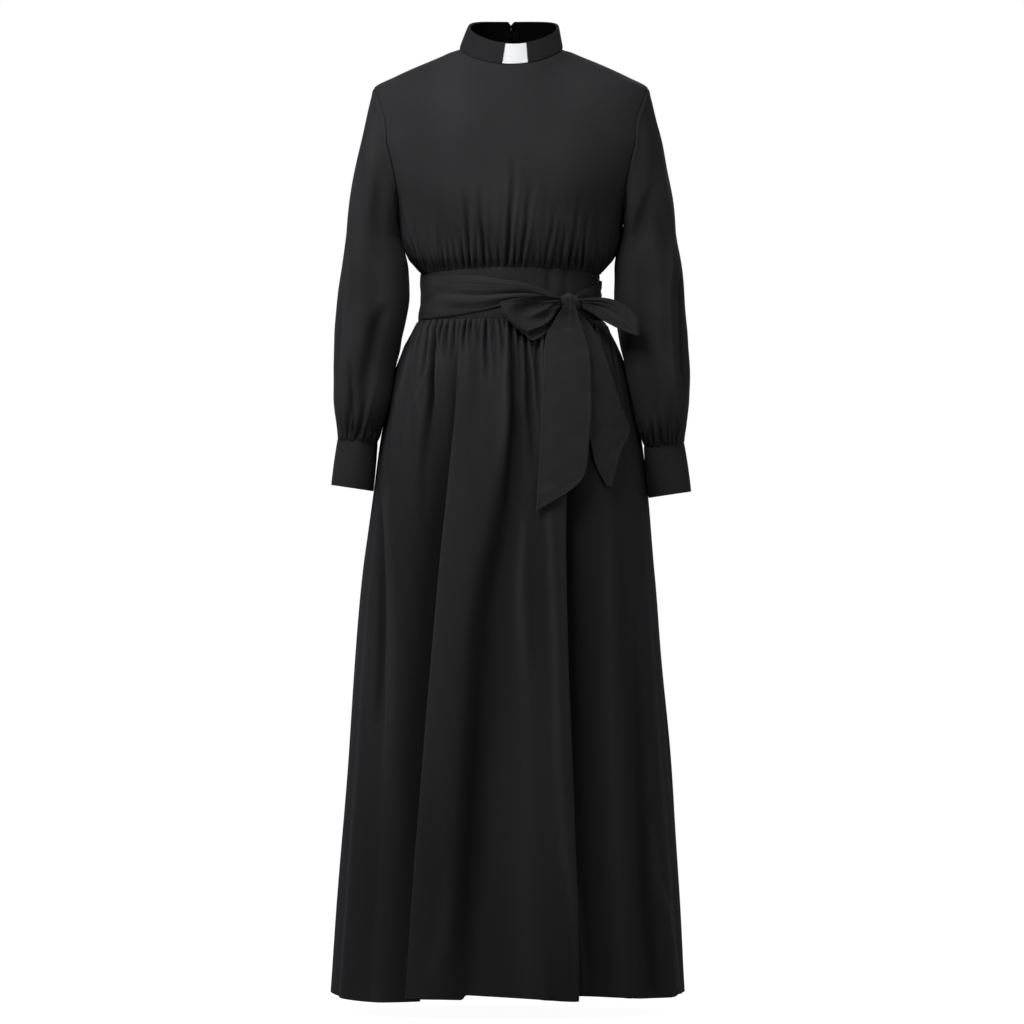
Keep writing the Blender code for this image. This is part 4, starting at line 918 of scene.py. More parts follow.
def sleevePlace(side):
    # row runs from 0 at the armhole to 1 under the arm, 2 at the cuff and 3 inside it
    def place(turn, row):
        cap, ring, tuck = np.minimum(row, 1)[..., None], np.clip(row - 1, 0, 1), np.clip(row - 2, 0, 1)
        front = turn <= 0.5
        down = np.where(front, 2 * turn, 2 - 2 * turn)
        low = smooth((down - 0.55) / 0.45)[..., None]
        start = np.where(front[..., None], armhole(down, "front"), armhole(down, "back"))
        seamOut = mix(np.array([0.94, 0, -0.34]), np.array([1.0, 0, 0]), low)
        start = start + seamOut * mix(0.0002, 0.0004, low)
        end = sleeveRing(turn, np.full_like(turn, sleeve["top"]))
        reach = np.linalg.norm(end - start, axis=-1, keepdims=True)
        leadOut = mix(np.array([0.30, 0, -0.95]), np.array([0.90, 0, -0.40]), low)
        leadOut[..., 1] = np.where(front, -0.15, 0.15) * np.sin(np.pi * down)
        leadIn = np.array([0.06, 0, -1.0])
        points = hermite(start, end, leadOut * reach * 0.5, leadIn * reach * 0.8, cap)
        rings = sleeveRing(turn, mix(sleeve["top"], sleeve["end"], ring))
        rings[..., 2] -= side["drop"] * ring
        points = np.where((row > 1)[..., None], rings, points)
        points = np.where((row > 0)[..., None], clearOfBody(points), points)
        # The lower edge is turned in to the cuff
        centre = np.array([sleeveMiddle(sleeve["end"]), sleeve["wristY"]])
        inner = points.copy()
        inner[..., :2] = centre + (points[..., :2] - centre) * 0.955
        inner[..., 2] -= 0.0022
        points = mix(points, inner, smooth(tuck)[..., None])
        points[..., 0] *= side["flip"]
        return points

    return place


def sleeveHint(points, u, v):
    x = points[..., 0]
    middle = np.sign(x) * np.minimum(sleeveMiddle(points[..., 2]), 0.19)
    return spots(x - middle, points[..., 1], 0.35 * (v < 0.6))


def seamLine(u, around, width):
    # The seam that runs down the inner side of a sleeve or cuff
    return np.exp(-((np.abs(u - 0.5) * around / width) ** 1.5))


def sleeveHeight(name, seed):
    backGathers = unevenGathers(seed, 13, 193.5, 244, (20, 80), (1.4, 2.8), (1.5, 2.2), 0.02)
    puckers = unevenGathers(seed + 1, 20, 192.5, 245, (6, 18), (0.5, 1.1), (0.9, 1.4), 0.0)
    end, creases = sleeve["end"] - sleeve["sides"][name]["drop"], sleeveCreases[name]

    def height(points, u, v):
        x, y, z = np.abs(points[..., 0]), points[..., 1], points[..., 2]
        away = np.maximum(0, z - end - sleeve["tilt"] * (x - sleeve["wristX"]))
        metric = metricOf(points, 4.0)
        ahead = smooth(-(y - sleeve["wristY"]) / 0.012 + 0.5)
        front, back = (gatherField(x, away, metric, rows, deeper)
                       for rows, deeper in zip((sleeveGathers[name], backGathers), sleeve["gatherDepth"]))
        high = mix(back, front, ahead) + gatherField(x, away, metric, puckers)
        # The first crease of each sleeve is a pressed line
        high += creaseField(x, z, metric, creases[1:], sleeve["creaseDepth"]) * ahead
        high += creaseField(x, z, metric, creases[:1], sleeve["pressDepth"], pressed=True) * ahead
        high += 0.0012 * np.exp(-away / 0.02)
        high += ripples(x + 0.6 * y, z, 0.05, 0.0011, seed + 2, 2.4) * smooth(away / 0.03) * smooth(v / 0.4)
        fall = lengthAlong(points, 0)
        fall -= fall[:1].copy()
        high += seamDip(fall, 0.0012, 0.0018) * (v < 1) * smooth(np.abs(u - 0.5) / 0.14)
        # The armhole seam's allowance lies in the sleeve and lifts it beside the seam
        high += 0.0008 * hump((fall - 0.006) / 0.005) * (v < 1)
        return (high - 0.0009 * seamLine(u, sleeve["around"], 0.0016)) * (1 - 0.7 * np.clip(v - 2, 0, 1))

    return height


def sleeveRows():
    capRows, ringRows = sleeve["rows"]
    return np.concatenate([[0, 0.004, 0.009, 0.016, 0.025, 0.036], np.linspace(0.05, 1, capRows)[:-1],
                           1 + np.linspace(0, 1, ringRows) ** 0.85, [2.3, 2.65, 3.0]])


for name, side in sleeve["sides"].items():
    cloth(f"sleeve{name}", seamedRound(sleeve["columns"]), sleeveRows(), sleevePlace(side), sleeveHint,
          sleeveHeight(name, side["seed"]), f"sleeve_{name.lower()}",
          closed=True)

cuff = {
    "top": (0.0276, 0.0365), "bottom": (0.0296, 0.0385), "shift": 0.0080, "tilt": 0.15, "wall": 0.0020,
    "rim": 0.0006, "columns": 110, "rows": 30, "radius": 0.034, "around": 0.21, "middle": 0.222,
}


def cuffPlace(side):
    def place(turn, share):
        z = sleeve["end"] - 0.0002 - side["cuff"] * share
        half, halfDepth = (mix(a, b, share) for a, b in zip(cuff["top"], cuff["bottom"]))
        x, y = np.cos(math.tau * turn) * half, sleeve["wristY"] - np.sin(math.tau * turn) * halfDepth
        middle = sleeveMiddle(sleeve["end"]) + cuff["shift"] * share
        z = z + mix(sleeve["tilt"], cuff["tilt"], share) * x - side["drop"]
        return spots((middle + x) * side["flip"], y, z)

    return place


def cuffHint(points, u, v):
    x = points[..., 0]
    return spots(x - np.sign(x) * cuff["middle"], points[..., 1] - sleeve["wristY"], 0)


def cuffHeight(seed):
    def height(points, u, v):
        high = 0.0004 * np.sin(np.pi * v) - 0.0009 * np.exp(-v / 0.022) - 0.0004 * np.exp(-(1 - v) / 0.02)
        # Small drags under the gathers, and a slight waviness that runs round the wrist
        across, ahead = np.cos(math.tau * u) * cuff["radius"], np.sin(math.tau * u) * cuff["radius"]
        high += ripples(across, ahead, 0.012, 0.00035, seed) * np.exp(-v / 0.35)
        high += ripples(across + v * 0.03, ahead, 0.06, 0.0005, seed + 1)
        return high - 0.0008 * seamLine(u, cuff["around"], 0.0014)

    return height


for name, side in sleeve["sides"].items():
    cloth(f"cuff{name}", seamedRound(cuff["columns"]), clustered(0, 1, cuff["rows"], (0.008, 0.018, 0.034)),
          cuffPlace(side), cuffHint, cuffHeight(side["cuffSeed"]), f"cuff_{name.lower()}",
          cuff["wall"], closed=True, rim=cuff["rim"])
print("sleeves and cuffs made")


# Collar and tab

collar = {
    "topHalf": 0.0634, "topFront": 0.0545, "topBack": 0.0512, "topShift": 0.0036,
    "topZ": 0.036, "topSlope": 0.0185, "topBow": 0.0085, "wall": 0.0034, "rim": 0.0009,
    "notchHalf": 0.0045, "notchDepth": 0.0060, "notchShare": 0.024,
    "ends": {"Left": (19.3, 16.6), "Right": (-10.1, -10.8)},  # degrees, at the lower and the upper edge
    # The last entry paints the collar much darker all over: painted shade
    "tabTuck": 1.6, "tabWall": 0.0010, "tabRim": 0.0002, "columns": 84, "rows": 20, "paintedShadeAndLight": -0.34,
}


def collarPoint(angle, rise):
    base = neckline(angle)
    side, ahead = facing(angle)
    base[..., 2] += 0.0003 + 0.00075 * mix(0.5, 0.95, side * side)
    reach = np.where(ahead > 0, collar["topFront"], collar["topBack"])
    topZ = collar["topZ"] - collar["topSlope"] * ahead - collar["topBow"] * ahead * ahead
    x = collar["topHalf"] * side + collar["topShift"] * (1 - np.maximum(0.0, -ahead) ** 4)
    notch = collar["notchDepth"] * np.maximum(0.0, 1 - np.abs(x) / collar["notchHalf"])
    topZ = np.where(ahead < 0, topZ - notch, topZ)
    return mix(base, spots(x, -reach * ahead, topZ), rise[..., None])


def collarEnd(name, rise):
    return mix(*collar["ends"][name], rise)


def collarPlace(name, flip):
    def place(share, rise):
        points = collarPoint(mix(collarEnd(name, rise), 180.0 * flip, share), rise)
        points[..., 0] = np.where(share == 1, flip * 0.0001, points[..., 0])
        return points

    return place


def collarHeight(seed):
    def height(points, u, v):
        # Interfaced cloth is smooth: it only dips where it is sewn to the neck and rounds over its upper edge
        high = ripples(u * 0.2, v * 0.03, 0.05, 0.00025, seed) - 0.0012 * np.exp(-v / 0.03)
        return high - 0.0004 * np.exp(-(1 - v) / 0.05) + 0.0003 * hump((u - 0.012) / 0.010)

    return height


def tabPlace(share, rise):
    low = collarEnd("Right", rise) - collar["tabTuck"]
    high = collarEnd("Left", rise) + collar["tabTuck"]
    return collarPoint(mix(low, high, share), 0.012 + 0.976 * rise)


notchShare = collar["notchShare"]
collarShares = np.concatenate([[0, 0.004, 0.009], np.linspace(0.016, 1 - notchShare, collar["columns"]),
                               1 - notchShare * np.linspace(0.85, 0, 7)])
collarRises = clustered(0, 1, collar["rows"], (0.012, 0.03))
collarRises[0] -= 0.035  # the lower edge reaches into the neck seam
for name, flip in (("Left", 1), ("Right", -1)):
    cloth(f"collar{name}", collarShares, collarRises, collarPlace(name, flip), outwards,
          collarHeight(131 + flip), f"collar_{name.lower()}",
          collar["wall"], rim=collar["rim"], paintedShadeAndLight=collar["paintedShadeAndLight"])
cloth("tabInsert", np.linspace(0, 1, 40), np.linspace(0, 1, 28), tabPlace, outwards, None, "tab_insert",
      collar["tabWall"], slotName="white_tab", rim=collar["tabRim"])
print("collar made")


# Sash and bow

sashLevels = Levels(
    "angle middle halfWidth",
    (-318, -358.5, 5), (-313.3, -356, 9), (-302.3, -357.2, 18), (-282.7, -360.2, 25.2), (-270, -357.5, 29),
    (-180, -351.8, 31.4), (-90, -351.2, 33.3), (-54, -352, 29.7), (-19.5, -348.1, 25.2), (-6.5, -346.7, 19.4),
    (5.2, -346.1, 14.3), (18.8, -349.7, 8.8), (27.5, -355.2, 5.6), (32.5, -359.2, 4.8),
)
# Towards the knot the strip gathers in two rolls with a sharp valley between them, by share of its width
sashRolls = Levels(
    "share height",
    (-1, -0.4), (-0.93, 0.1), (-0.84, -1), (-0.66, 0.6), (-0.4, 3.4), (-0.24, 3.4), (-0.15, 0.4), (-0.1, -1),
    (0.02, 0.6), (0.3, 2.7), (0.55, 2.6), (0.8, 2.2), (0.93, 1.4), (1, 0.4),
)
sash = {
    "start": -317.5, "end": 32.2, "offset": 0.0034, "columns": 240, "rows": 32, "wall": 0.0011,
    "pleats": ((0.34, -0.0016, 0.00055), (0.58, -0.0020, 0.00065), (0.80, -0.0008, 0.0004),
               (-0.62, 0.0010, 0.0004)),
    "backPleats": ((-0.55, 0.0009), (-0.12, 0.0013), (0.25, 0.0008), (0.62, 0.0011)),
}


def sashPlace(angle, across):
    turn = np.where(angle < -180, angle + 360, angle)
    z = sashLevels.at("middle", angle) + across * sashLevels.at("halfWidth", angle)
    points, out = outline(waistLevels, turn, z)
    return points + out * sash["offset"]


def sashHeight(points, u, v):
    halfWidth = sashLevels.at("halfWidth", u)
    front = smooth((u + 62) / 52)
    toKnot = np.maximum(front, 0.55 * smooth((-262 - u) / 40))
    valley = mix(0.16, -0.12, front) + 0.03 * np.sin(u / 9)
    rolls = sashRolls.at("height", np.clip(v - (valley + 0.12), -1, 1)) * np.minimum(1, halfWidth / 0.016)
    high = 0.0007 * (1 - v * v) + rolls * toKnot
    # A few thin pleats over the upper roll
    for start, lean, depth in sash["pleats"]:
        centre = start + lean * (u + 30)
        high -= depth * smooth((u + 50) / 30) * hump((v - centre) * halfWidth / 0.0011)
    # A soft diagonal drag at the side
    high -= 0.0014 * hump((v + 0.45 - (u + 84) * 0.020) * halfWidth / 0.0055) * hump((u + 66) / 19)
    # Shallow, uneven pleats round the back
    behind = smooth((-86 - u) / 20) * smooth((u + 300) / 30)
    for place, depth in sash["backPleats"]:
        d = (v - place - 0.07 * np.sin(u / 23 + 9 * place)) * halfWidth
        high += depth * behind * np.tanh(d / 0.0012) * np.exp(-np.abs(d) / 0.0050)
    high += ripples(np.radians(u) * 0.11, v * halfWidth * 2.0, 0.055, 0.0005, 141)
    return high - 0.0005 * np.exp(-(1 - np.abs(v)) / 0.04)


sashColumns = np.linspace(sash["start"], sash["end"], sash["columns"])
cloth("sashWrap", sashColumns, clustered(-1, 1, sash["rows"], (0.008, 0.02)), sashPlace, outwards, sashHeight,
      "sash_wrap", sash["wall"])


def overDress(x, z, lift, mostShare):
    # The point that shows at x and z from the front and stands off the waist or the skirt by a lift. It
    # passes softly over the seam between them, because each level is the mean of a short stretch
    def level(name):
        total, steps = 0, np.linspace(-0.018, 0.018, 9)
        for near in (z + step for step in steps):
            onWaist = near > seams["waistBottom"]
            total = total + np.where(onWaist, waistLevels.at(name, near), skirtLevels.at(name, near))
        return total / len(steps)

    halfWidth, reach, power = level("halfWidth"), level("front"), level("square")
    base = x
    for _ in range(6):
        share = np.clip(base / halfWidth, 0.0, mostShare)
        depth = (1 - share**power) ** (1 / power)
        out = unit(spots(share ** (power - 1) / halfWidth, -(depth ** (power - 1)) / reach, 0))
        base = x - out[..., 0] * lift
    return spots(x, -depth * reach + out[..., 1] * lift, z)


# Each loop is a net of points, along the loop from the knot and back, and across it: x, z and the lift, in mm
loopNets = {
    "bowLoopRight": [
        [(73.7, -355.1, 7), (73.7, -357.2, 9), (73.7, -359.3, 8), (73.7, -361.5, 10), (73.7, -363.6, 8),
         (72.3, -366.4, 7)],
        [(59.5, -352.8, 12), (58.8, -356.5, 10), (60.3, -360.2, 14), (61.7, -363.9, 10.5),
         (63.8, -367.9, 13.5), (65.9, -372.8, 8.5)],
        [(42.5, -350.8, 15.5), (42.5, -356.8, 12.5), (43.2, -364.3, 12), (46.1, -372.5, 18),
         (49.6, -379.2, 13), (54.6, -387, 13.5)],
        [(26.9, -352.5, 18), (26.2, -359.3, 15), (25.5, -368.6, 11), (27.6, -379.9, 15.5), (34, -387.7, 14),
         (43.2, -395.2, 16)],
        [(12.1, -355.1, 20.5), (11.3, -362.2, 19.5), (12.1, -372.1, 15), (17, -383.5, 14), (24.1, -392, 16.5),
         (34.7, -398.3, 17)],
        [(-2.1, -357.9, 21.5), (-2.1, -365.7, 23), (1.4, -376.4, 22.5), (8.5, -387, 21), (16.3, -395.5, 20.5),
         (27.6, -401.2, 18)],
        [(-12.1, -360.2, 20), (-10.2, -367.9, 22), (-5.2, -378.5, 22.5), (2.8, -389.1, 21),
         (12.5, -398.1, 19.5), (24.8, -404.4, 16.5)],
        [(-15.3, -362.2, 16), (-13, -369.3, 17), (-7.7, -379.5, 17.5), (1.1, -390.5, 17),
         (11.9, -400.2, 15.5), (25.5, -408.3, 13)],
        [(-11.3, -362.2, 12), (-9.1, -369.3, 12), (-3.7, -379.2, 12), (5.1, -391.2, 11.5), (15.6, -401.9, 11),
         (30.6, -415.5, 10)],
        [(8.5, -360.1, 9), (11.3, -369.3, 9), (16.3, -379.2, 9), (24.1, -390.5, 9), (32.6, -401.9, 9),
         (42.5, -409.7, 8.5)],
        [(38.3, -357.9, 7.5), (39.7, -365.7, 7.5), (42.5, -374.2, 7.5), (46.8, -383.5, 7.5), (51, -392, 7.5),
         (56.7, -397.6, 7.5)],
        [(62.4, -356.5, 7.2), (63.1, -360.8, 7.2), (63.8, -365, 7.2), (64.9, -370.7, 7.2),
         (65.9, -376.4, 7.2), (67.3, -382, 7.2)],
        [(73.7, -356.5, 7), (73.7, -358.4, 7), (73.7, -360.2, 7), (73.7, -362.2, 7), (73.7, -364.3, 7),
         (73, -366.4, 7)],
    ],
    "bowLoopLeft": [
        [(101.5, -357.1, 9), (101.5, -359.1, 10), (101.5, -361.7, 8.5), (101.5, -364.5, 10),
         (101.5, -368.5, 9)],
        [(115, -354.2, 13), (114.3, -358, 15), (115, -363, 10.5), (114.3, -367.6, 14.5),
         (115.5, -375.3, 11.5)],
        [(132.1, -354.2, 16), (131.4, -360.3, 18), (130.7, -367.4, 13.5), (129.9, -374.8, 17.5),
         (132.4, -386.8, 14)],
        [(149.1, -358.1, 18), (147.7, -366.7, 19.5), (147, -375.5, 17), (147, -384.4, 19),
         (150.5, -396.6, 15.5)],
        [(164.7, -367.2, 19.5), (164.2, -376.6, 21), (164.2, -385.8, 20), (164.7, -394.3, 19.5),
         (166.9, -403.4, 17)],
        [(175.2, -377.3, 20), (177.2, -385.5, 21.5), (178.1, -393.5, 21.5), (178.7, -400, 20.5),
         (178.7, -407.4, 18)],
        [(178.1, -380.1, 16), (181.2, -387.5, 17), (182.2, -395.2, 17), (181.8, -402.3, 16.5),
         (180.6, -408.6, 15)],
        [(171.8, -376.6, 12.5), (173.3, -385.1, 13), (173.5, -393.6, 13), (172.7, -400.5, 13),
         (171, -405.4, 12.5)],
        [(152, -362.4, 10.5), (152, -370.5, 10.5), (152, -378.7, 10.5), (152, -386.7, 10.5),
         (152, -394.6, 10.5)],
        [(126.4, -356.7, 9.5), (126.4, -362.4, 9.5), (126.4, -368.8, 9.5), (126.4, -375.2, 9.5),
         (126.4, -381.6, 9.5)],
        [(102.3, -358.1, 9), (102.3, -360.3, 9), (102.3, -362.4, 9), (102.3, -364.5, 9), (102.3, -366.8, 9)],
    ],
}
# The tails from the front: their two edges, and how far they stand off the dress
tailNames = "step xLeft zLeft xRight zRight lift turn"
tailLevels = {
    "bowTailFront": Levels(
        tailNames,
        (0, 81, -354.6, 86.1, -353.2, 22.5, 0), (1, 74.8, -366.8, 91.5, -366.1, 23, 0),
        (2, 67, -378.1, 95.6, -381, 20, 1), (3, 57.9, -394.4, 101.7, -398, 16.5, 3),
        (4, 49.8, -409.3, 106.2, -412.1, 14.5, 4), (5, 46.7, -431.9, 111.2, -431.9, 13, 4.5),
        (6, 45.9, -457.4, 113, -457.4, 12.5, 5), (7, 42.5, -509.8, 113.6, -509.8, 12, 5.5),
        (8, 41.1, -563.6, 110.7, -556.5, 12, 5.5), (9, 38.2, -613.2, 106.2, -599, 12, 5),
        (10, 36.8, -637.3, 98.4, -614.6, 12, 4), (11, 35.4, -657.8, 80.7, -630.2, 12, 3),
    ),
    "bowTailBack": Levels(
        tailNames,
        (0, 76, -368, 92, -367.1, 4.6, 1), (1, 87.3, -412, 123.1, -409.4, 8, 1),
        (2, 93, -469.5, 144.6, -469.5, 8.2, 1), (3, 103, -519.6, 158.9, -513.9, 8, 1),
        (4, 111.7, -555.4, 168.9, -541.1, 7.8, 1), (5, 118.8, -588.3, 154.6, -575.5, 7.8, 1),
        (6, 136, -622.7, 143.1, -621.3, 7.8, 1),
    ),
}
# Each strip's last entry paints it lighter all over: painted light
bow = {
    "bowLoopRight": {"node": "bow_loop_right", "most": 0.72, "columns": 44, "rows": 120,
        "flat": (0.055, 0.155), "folds": 0.0034, "paintedShadeAndLight": 0.10},
    "bowLoopLeft": {"node": "bow_loop_left", "most": 0.72, "columns": 38, "rows": 110,
        "flat": (0.034, 0.160), "folds": 0.0034, "paintedShadeAndLight": 0.10},
    "bowTailFront": {"node": "bow_tail_front", "most": 0.93, "columns": 44, "rows": 130,
        "flat": (0.069, 0.275), "folds": 0.0010, "paintedShadeAndLight": 0.18},
    "bowTailBack": {"node": "bow_tail_back", "most": 0.93, "columns": 36, "rows": 100,
        "flat": (0.069, 0.235), "folds": 0.0011, "paintedShadeAndLight": 0.18},
}


def forwards(points, u, v):
    return np.array([0.0, -1.0, 0.0])


def blend(count, steps):
    # Weights of a smooth curve that runs through evenly numbered points
    base = np.clip(np.floor(steps).astype(int), 0, count - 2)
    t = steps - base
    shares = (-t + 2 * t**2 - t**3, 2 - 5 * t**2 + 3 * t**3, t + 4 * t**2 - 3 * t**3, t**3 - t**2)
    weights = np.zeros((len(steps), count))
    for shift, share in zip((-1, 0, 1, 2), shares):
        np.add.at(weights, (np.arange(len(steps)), np.clip(base + shift, 0, count - 1)), share / 2)
    return weights


def loopPlace(name):
    net = np.array(loopNets[name]) / 1000

    def place(across, step):
        down, over = blend(len(net), step[:, 0]), blend(net.shape[1], across[0] * (net.shape[1] - 1))
        x, z, lift = (down @ net[..., i] @ over.T for i in range(3))
        return overDress(x, z, lift, bow[name]["most"])

    return place


def tailPlace(name):
    levels = tailLevels[name]

    def place(across, step):
        x = mix(levels.at("xLeft", step), levels.at("xRight", step), across)
        z = mix(levels.at("zLeft", step), levels.at("zRight", step), across)
        lift = levels.at("lift", step) + levels.at("turn", step) * (2 * across - 1)
        return overDress(x, z, lift, bow[name]["most"])

    return place


def stripHeight(name, seed, last):
    loop, folds = "Loop" in name, bow[name]["folds"]

    def height(points, u, v):
        # Pleats run out of the knot and open along the strip
        near = np.minimum(v, last - v) if loop else v
        toKnot = 1 - smooth(near / (3.8 if loop else 4.5))
        high = np.zeros_like(u)
        draw = random.Random(seed)
        for i in range(5 if loop else 3):
            centre = (i + 1) / (6 if loop else 4) + draw.uniform(-0.05, 0.05) + 0.03 * np.sin(v * 1.1 + i)
            depth = folds * draw.uniform(0.6, 1.1)
            high -= depth * mix(0.15, 1.0, toKnot) * profile((u - centre) / (0.045 + 0.06 * (1 - toKnot)))
        # The strip's edges are folded in and pressed, so they are a little thicker than its middle
        edge = np.minimum(u, 1 - u)
        high += 0.0006 * hump((edge - 0.03) / 0.028)
        waves = ripples(u * 0.05, v * 0.03, 0.03, 0.00035, seed)
        return high * smooth(near / 0.15) + waves * smooth(near / 0.5)

    return height


for index, (name, strip) in enumerate(bow.items()):
    loop = "Loop" in name
    last = len(loopNets[name]) - 1 if loop else tailLevels[name].keys[-1]
    columns = clustered(0, 1, strip["columns"], (0.008, 0.02))
    rows = clustered(0, last, strip["rows"], (0.002, 0.005))
    place = loopPlace(name) if loop else tailPlace(name)
    cloth(name, columns, rows, place, forwards, stripHeight(name, 151 + index, last), strip["node"],
          paintedShadeAndLight=strip["paintedShadeAndLight"])

knot = {
    "x": 0.0840, "z": -0.3602, "lift": 0.0112, "half": (0.0150, 0.0090, 0.0112), "turn": 34.0, "ridge": 0.15,
    # The knot's painted light level, above the middle, so its colour is painted lighter all over
    "crest": 0.72,
}


def makeKnot():
    bm = bmesh.new()
    bmesh.ops.create_uvsphere(bm, u_segments=72, v_segments=48, radius=1.0)
    bmesh.ops.remove_doubles(bm, verts=bm.verts, dist=1e-6)
    for vert in bm.verts:
        x, y, z = vert.co
        # The strip wraps round the knot on a slant, in a few folds that lap over each other
        slant = 7.2 * x + 4.2 * z + 0.9 * math.sin(2.1 * z - 1.0 * x) - 0.6
        wraps = math.sin(slant) + 0.42 * math.sin(2 * slant + 0.4) + 0.18 * math.sin(3 * slant + 0.9)
        grown = 1 - knot["ridge"] * wraps * abs(y) ** 0.5
        vert.co = Vector(part * half * grown for part, half in zip((x, y, z), knot["half"]))
    centre, left, right = (overDress(np.array(x), np.array(knot["z"]), knot["lift"], 0.93)
                           for x in knot["x"] + knot["half"][0] * np.array([0, 1, -1]))
    heading = Matrix.Rotation(math.atan2(left[1] - right[1], left[0] - right[0]), 3, "Z")
    bmesh.ops.rotate(bm, verts=bm.verts, matrix=heading @ Matrix.Rotation(math.radians(knot["turn"]), 3, "Y"))
    bmesh.ops.translate(bm, verts=bm.verts, vec=Vector(centre))
    bmesh.ops.recalc_face_normals(bm, faces=bm.faces)
    layer = bm.loops.layers.uv.new("clothMap")
    for face in bm.faces:
        for loop in face.loops:
            loop[layer].uv = (loop.vert.co.x, loop.vert.co.z)
    mesh = meshFrom(bm, "bowKnot")
    # The whole knot gets that one painted light level, with no fold shade
    crest = mesh.attributes.new("crest", "FLOAT", "POINT")
    crest.data.foreach_set("value", np.full(len(mesh.vertices), knot["crest"]))
    dressed("bowKnot", mesh, "bow_knot", 0, "black_crepe")


makeKnot()
print("sash and bow made")


# Zip, inside the seam at the middle of the back. Its slider and pull tab are the model's, in a better finish

zipper = {
    "top": 0.031, "end": -0.500, "tape": 0.0120, "gap": 0.0008, "inset": 0.0034, "wall": 0.0005,
    "tooth": 0.00034, "reach": 0.0029, "step": 0.0016, "overlap": 0.0011, "teethInset": 0.0010,
    "bareTape": 0.004,
}


def backLine(z):
    # How far back the dress reaches at its middle, eased along it so that the tape spans the seams
    def reach(z):
        collarZ, base = collar["topZ"] + collar["topSlope"] - collar["topBow"], neckline(np.array(180.0))
        upper = mix(base[1], collar["topBack"], np.clip((z - base[2]) / (collarZ - base[2]), 0, 1))
        lower = np.where(z > seams["waistBottom"], waistLevels.at("back", z), skirtLevels.at("back", z))
        lower = np.where(z > seams["waistTopBack"], torsoLevels.at("back", z), lower)
        return np.where(z > base[2], upper, lower)

    nearby = [np.minimum(reach(z + step), reach(z + step / 2)) for step in np.linspace(-0.012, 0.012, 7)]
    return np.minimum(np.mean(nearby, axis=0), reach(z)) - zipper["inset"]


def tapePlace(flip):
    def place(across, down):
        z = mix(zipper["top"], zipper["end"], down)
        return spots(flip * mix(zipper["gap"], zipper["tape"], across), backLine(z) - 0.0008 * across, z)

    return place


def tapeHeight(points, u, v):
    # The tape is sewn down along its outer half and a little fuller beside the teeth
    return 0.0004 * hump((u - 0.22) / 0.12) + ripples(u * 0.01, v * 0.5, 0.03, 0.0002, 171)


for name, flip in (("Left", 1), ("Right", -1)):
    tape = cloth(f"zipTape{name}", np.linspace(0, 1, 9), np.linspace(0, 1, 96), tapePlace(flip), forwards,
                 tapeHeight, None, zipper["wall"])
    tape.data.materials.clear()
    tape.data.materials.append(finishes["zipTape"])


def makeTeeth():
    bm = bmesh.new()
    top = zipper["top"] - zipper["bareTape"]
    step, reach, tooth = (zipper[name] for name in ("step", "reach", "tooth"))
    for i in range(2 * int((top - zipper["end"]) / step)):
        z = top - i * step / 2
        y = float(backLine(np.array(z))) - zipper["teethInset"]
        centre = Vector(((0.5 - i % 2) * (reach - zipper["overlap"]), y, z))
        bmesh.ops.create_cone(bm, cap_ends=True, segments=6, radius1=tooth, radius2=tooth, depth=reach,
                              matrix=Matrix.Translation(centre) @ Matrix.Rotation(math.pi / 2, 4, "Y"))
    mesh = meshFrom(bm, "zipTeeth")
    dressed("zipTeeth", mesh, None, 0, "black_metal").data.materials[0] = finishes["zipCoil"]


makeTeeth()
for node in ("zip_slider", "zip_pull"):
    piece = bpy.data.objects.get(node)
    if piece and piece.material_slots:
        piece.material_slots[0].material = finishes["black_metal"]
print("zip finished")


# Studio

studio = {
    "floorZ": -1.374, "floorGlow": 0.97, "world": 0.108, "camera": (0.0014, -12, -0.6585), "lens": 294.7,
    # Place, what the lamp points at, width, height, power
    "lamps": {
        "key": ((-0.55, -0.95, 0.80), (-0.03, 0, -0.10), 0.7, 0.7, 15.5),
        "left": ((-2.0, -0.7, 0.1), (0, 0, -0.4), 0.8, 1.4, 8),
        "leftLow": ((-1.9, -1.3, -0.9), (0, 0, -0.9), 0.9, 1.2, 3.5),
        "rightFront": ((1.5, -2.0, 0.4), (0, 0, -0.4), 1.0, 1.4, 7.5),
        "right": ((1.9, -0.3, -0.2), (0, 0, -0.5), 0.9, 1.6, 3),
        "back": ((0.3, 2.4, 0.4), (0, 0, -0.5), 1.4, 1.6, 16),
    },
}


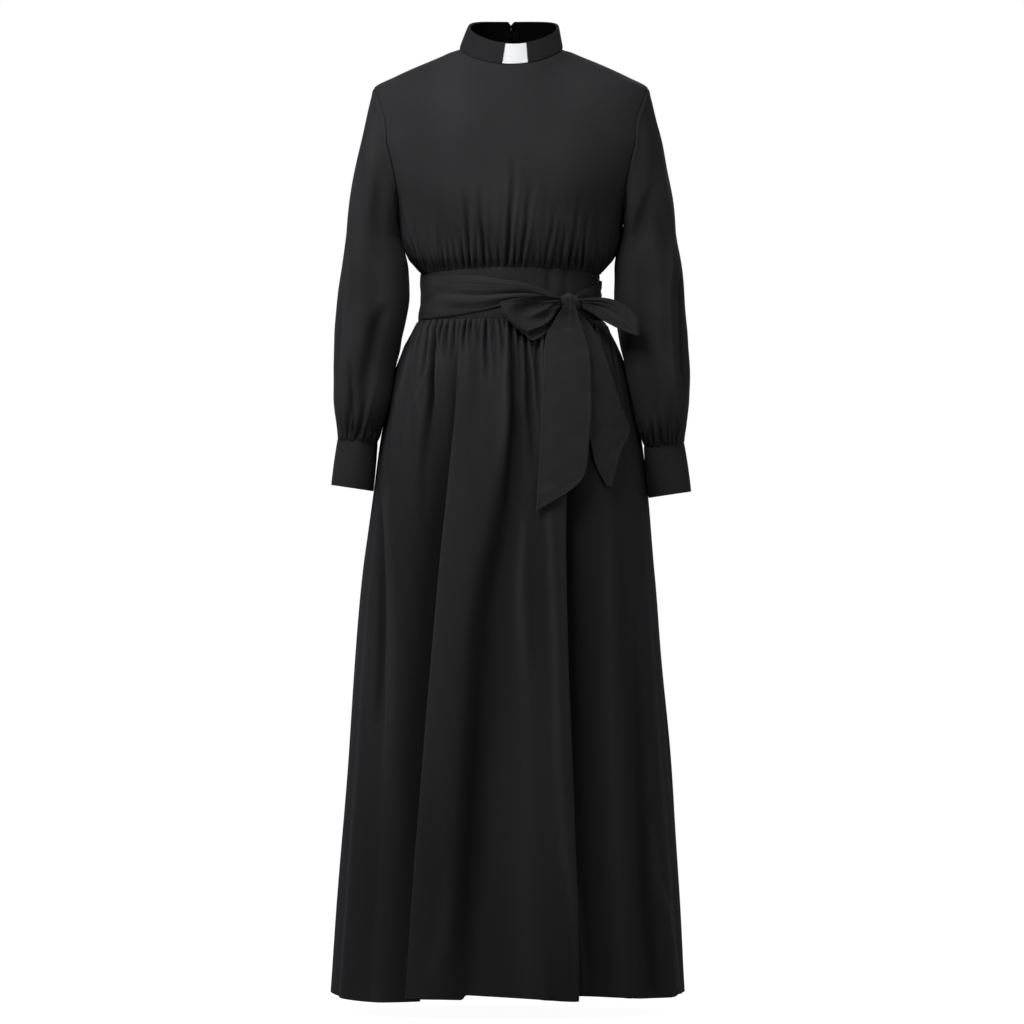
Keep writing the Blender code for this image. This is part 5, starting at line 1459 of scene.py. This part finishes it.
def makeFloor():
    bm = bmesh.new()
    bmesh.ops.create_grid(bm, x_segments=2, y_segments=2, size=30.0)
    bmesh.ops.translate(bm, verts=bm.verts, vec=(0, 0, studio["floorZ"]))
    mesh = meshFrom(bm, "floor")
    floor = linked("floor", mesh)
    finish = Finish("floorPaint", {
        "Base Color": (0.25, 0.25, 0.25, 1), "Roughness": 0.9,
        "Emission Color": (1, 1, 1, 1), "Emission Strength": studio["floorGlow"],
    })
    mesh.materials.append(finish.material)
    floor.visible_diffuse = floor.visible_glossy = False  # it is seen, but throws no light up into the skirt


def addLight(name, place, target, width, height, power):
    light = bpy.data.lights.new(name, "AREA")
    light.shape, light.size, light.size_y, light.energy = "RECTANGLE", width, height, power
    lamp = linked(name, light)
    lamp.location = place
    lamp.rotation_euler = (Vector(target) - Vector(place)).to_track_quat("-Z", "Y").to_euler()


def makeStudio():
    makeFloor()
    for name, lamp in studio["lamps"].items():
        addLight(name, *lamp)
    # The camera sees white air, and the dress is lit by a dim, cool one
    world = bpy.data.worlds.new("studioAir")
    bpy.context.scene.world = world
    world.use_nodes = True
    nodes, links = world.node_tree.nodes, world.node_tree.links
    nodes.clear()
    seen, lit = nodes.new("ShaderNodeBackground"), nodes.new("ShaderNodeBackground")
    seen.inputs[0].default_value, seen.inputs[1].default_value = (1, 1, 1, 1), 1.0
    lit.inputs[0].default_value, lit.inputs[1].default_value = (0.93, 0.96, 1, 1), studio["world"]
    path, either = nodes.new("ShaderNodeLightPath"), nodes.new("ShaderNodeMixShader")
    links.new(path.outputs["Is Camera Ray"], either.inputs[0])
    links.new(lit.outputs[0], either.inputs[1])
    links.new(seen.outputs[0], either.inputs[2])
    links.new(either.outputs[0], nodes.new("ShaderNodeOutputWorld").inputs[0])
    bpy.context.scene.view_settings.view_transform = "Standard"
    camera = bpy.data.cameras.new("camera")
    camera.sensor_width, camera.lens, camera.clip_end = 36.0, studio["lens"], 100
    seat = linked("camera", camera)
    seat.location, seat.rotation_euler = studio["camera"], (math.radians(90), 0, 0)
    bpy.context.scene.camera = seat


makeStudio()
print("studio made")

bpy.context.view_layer.update()
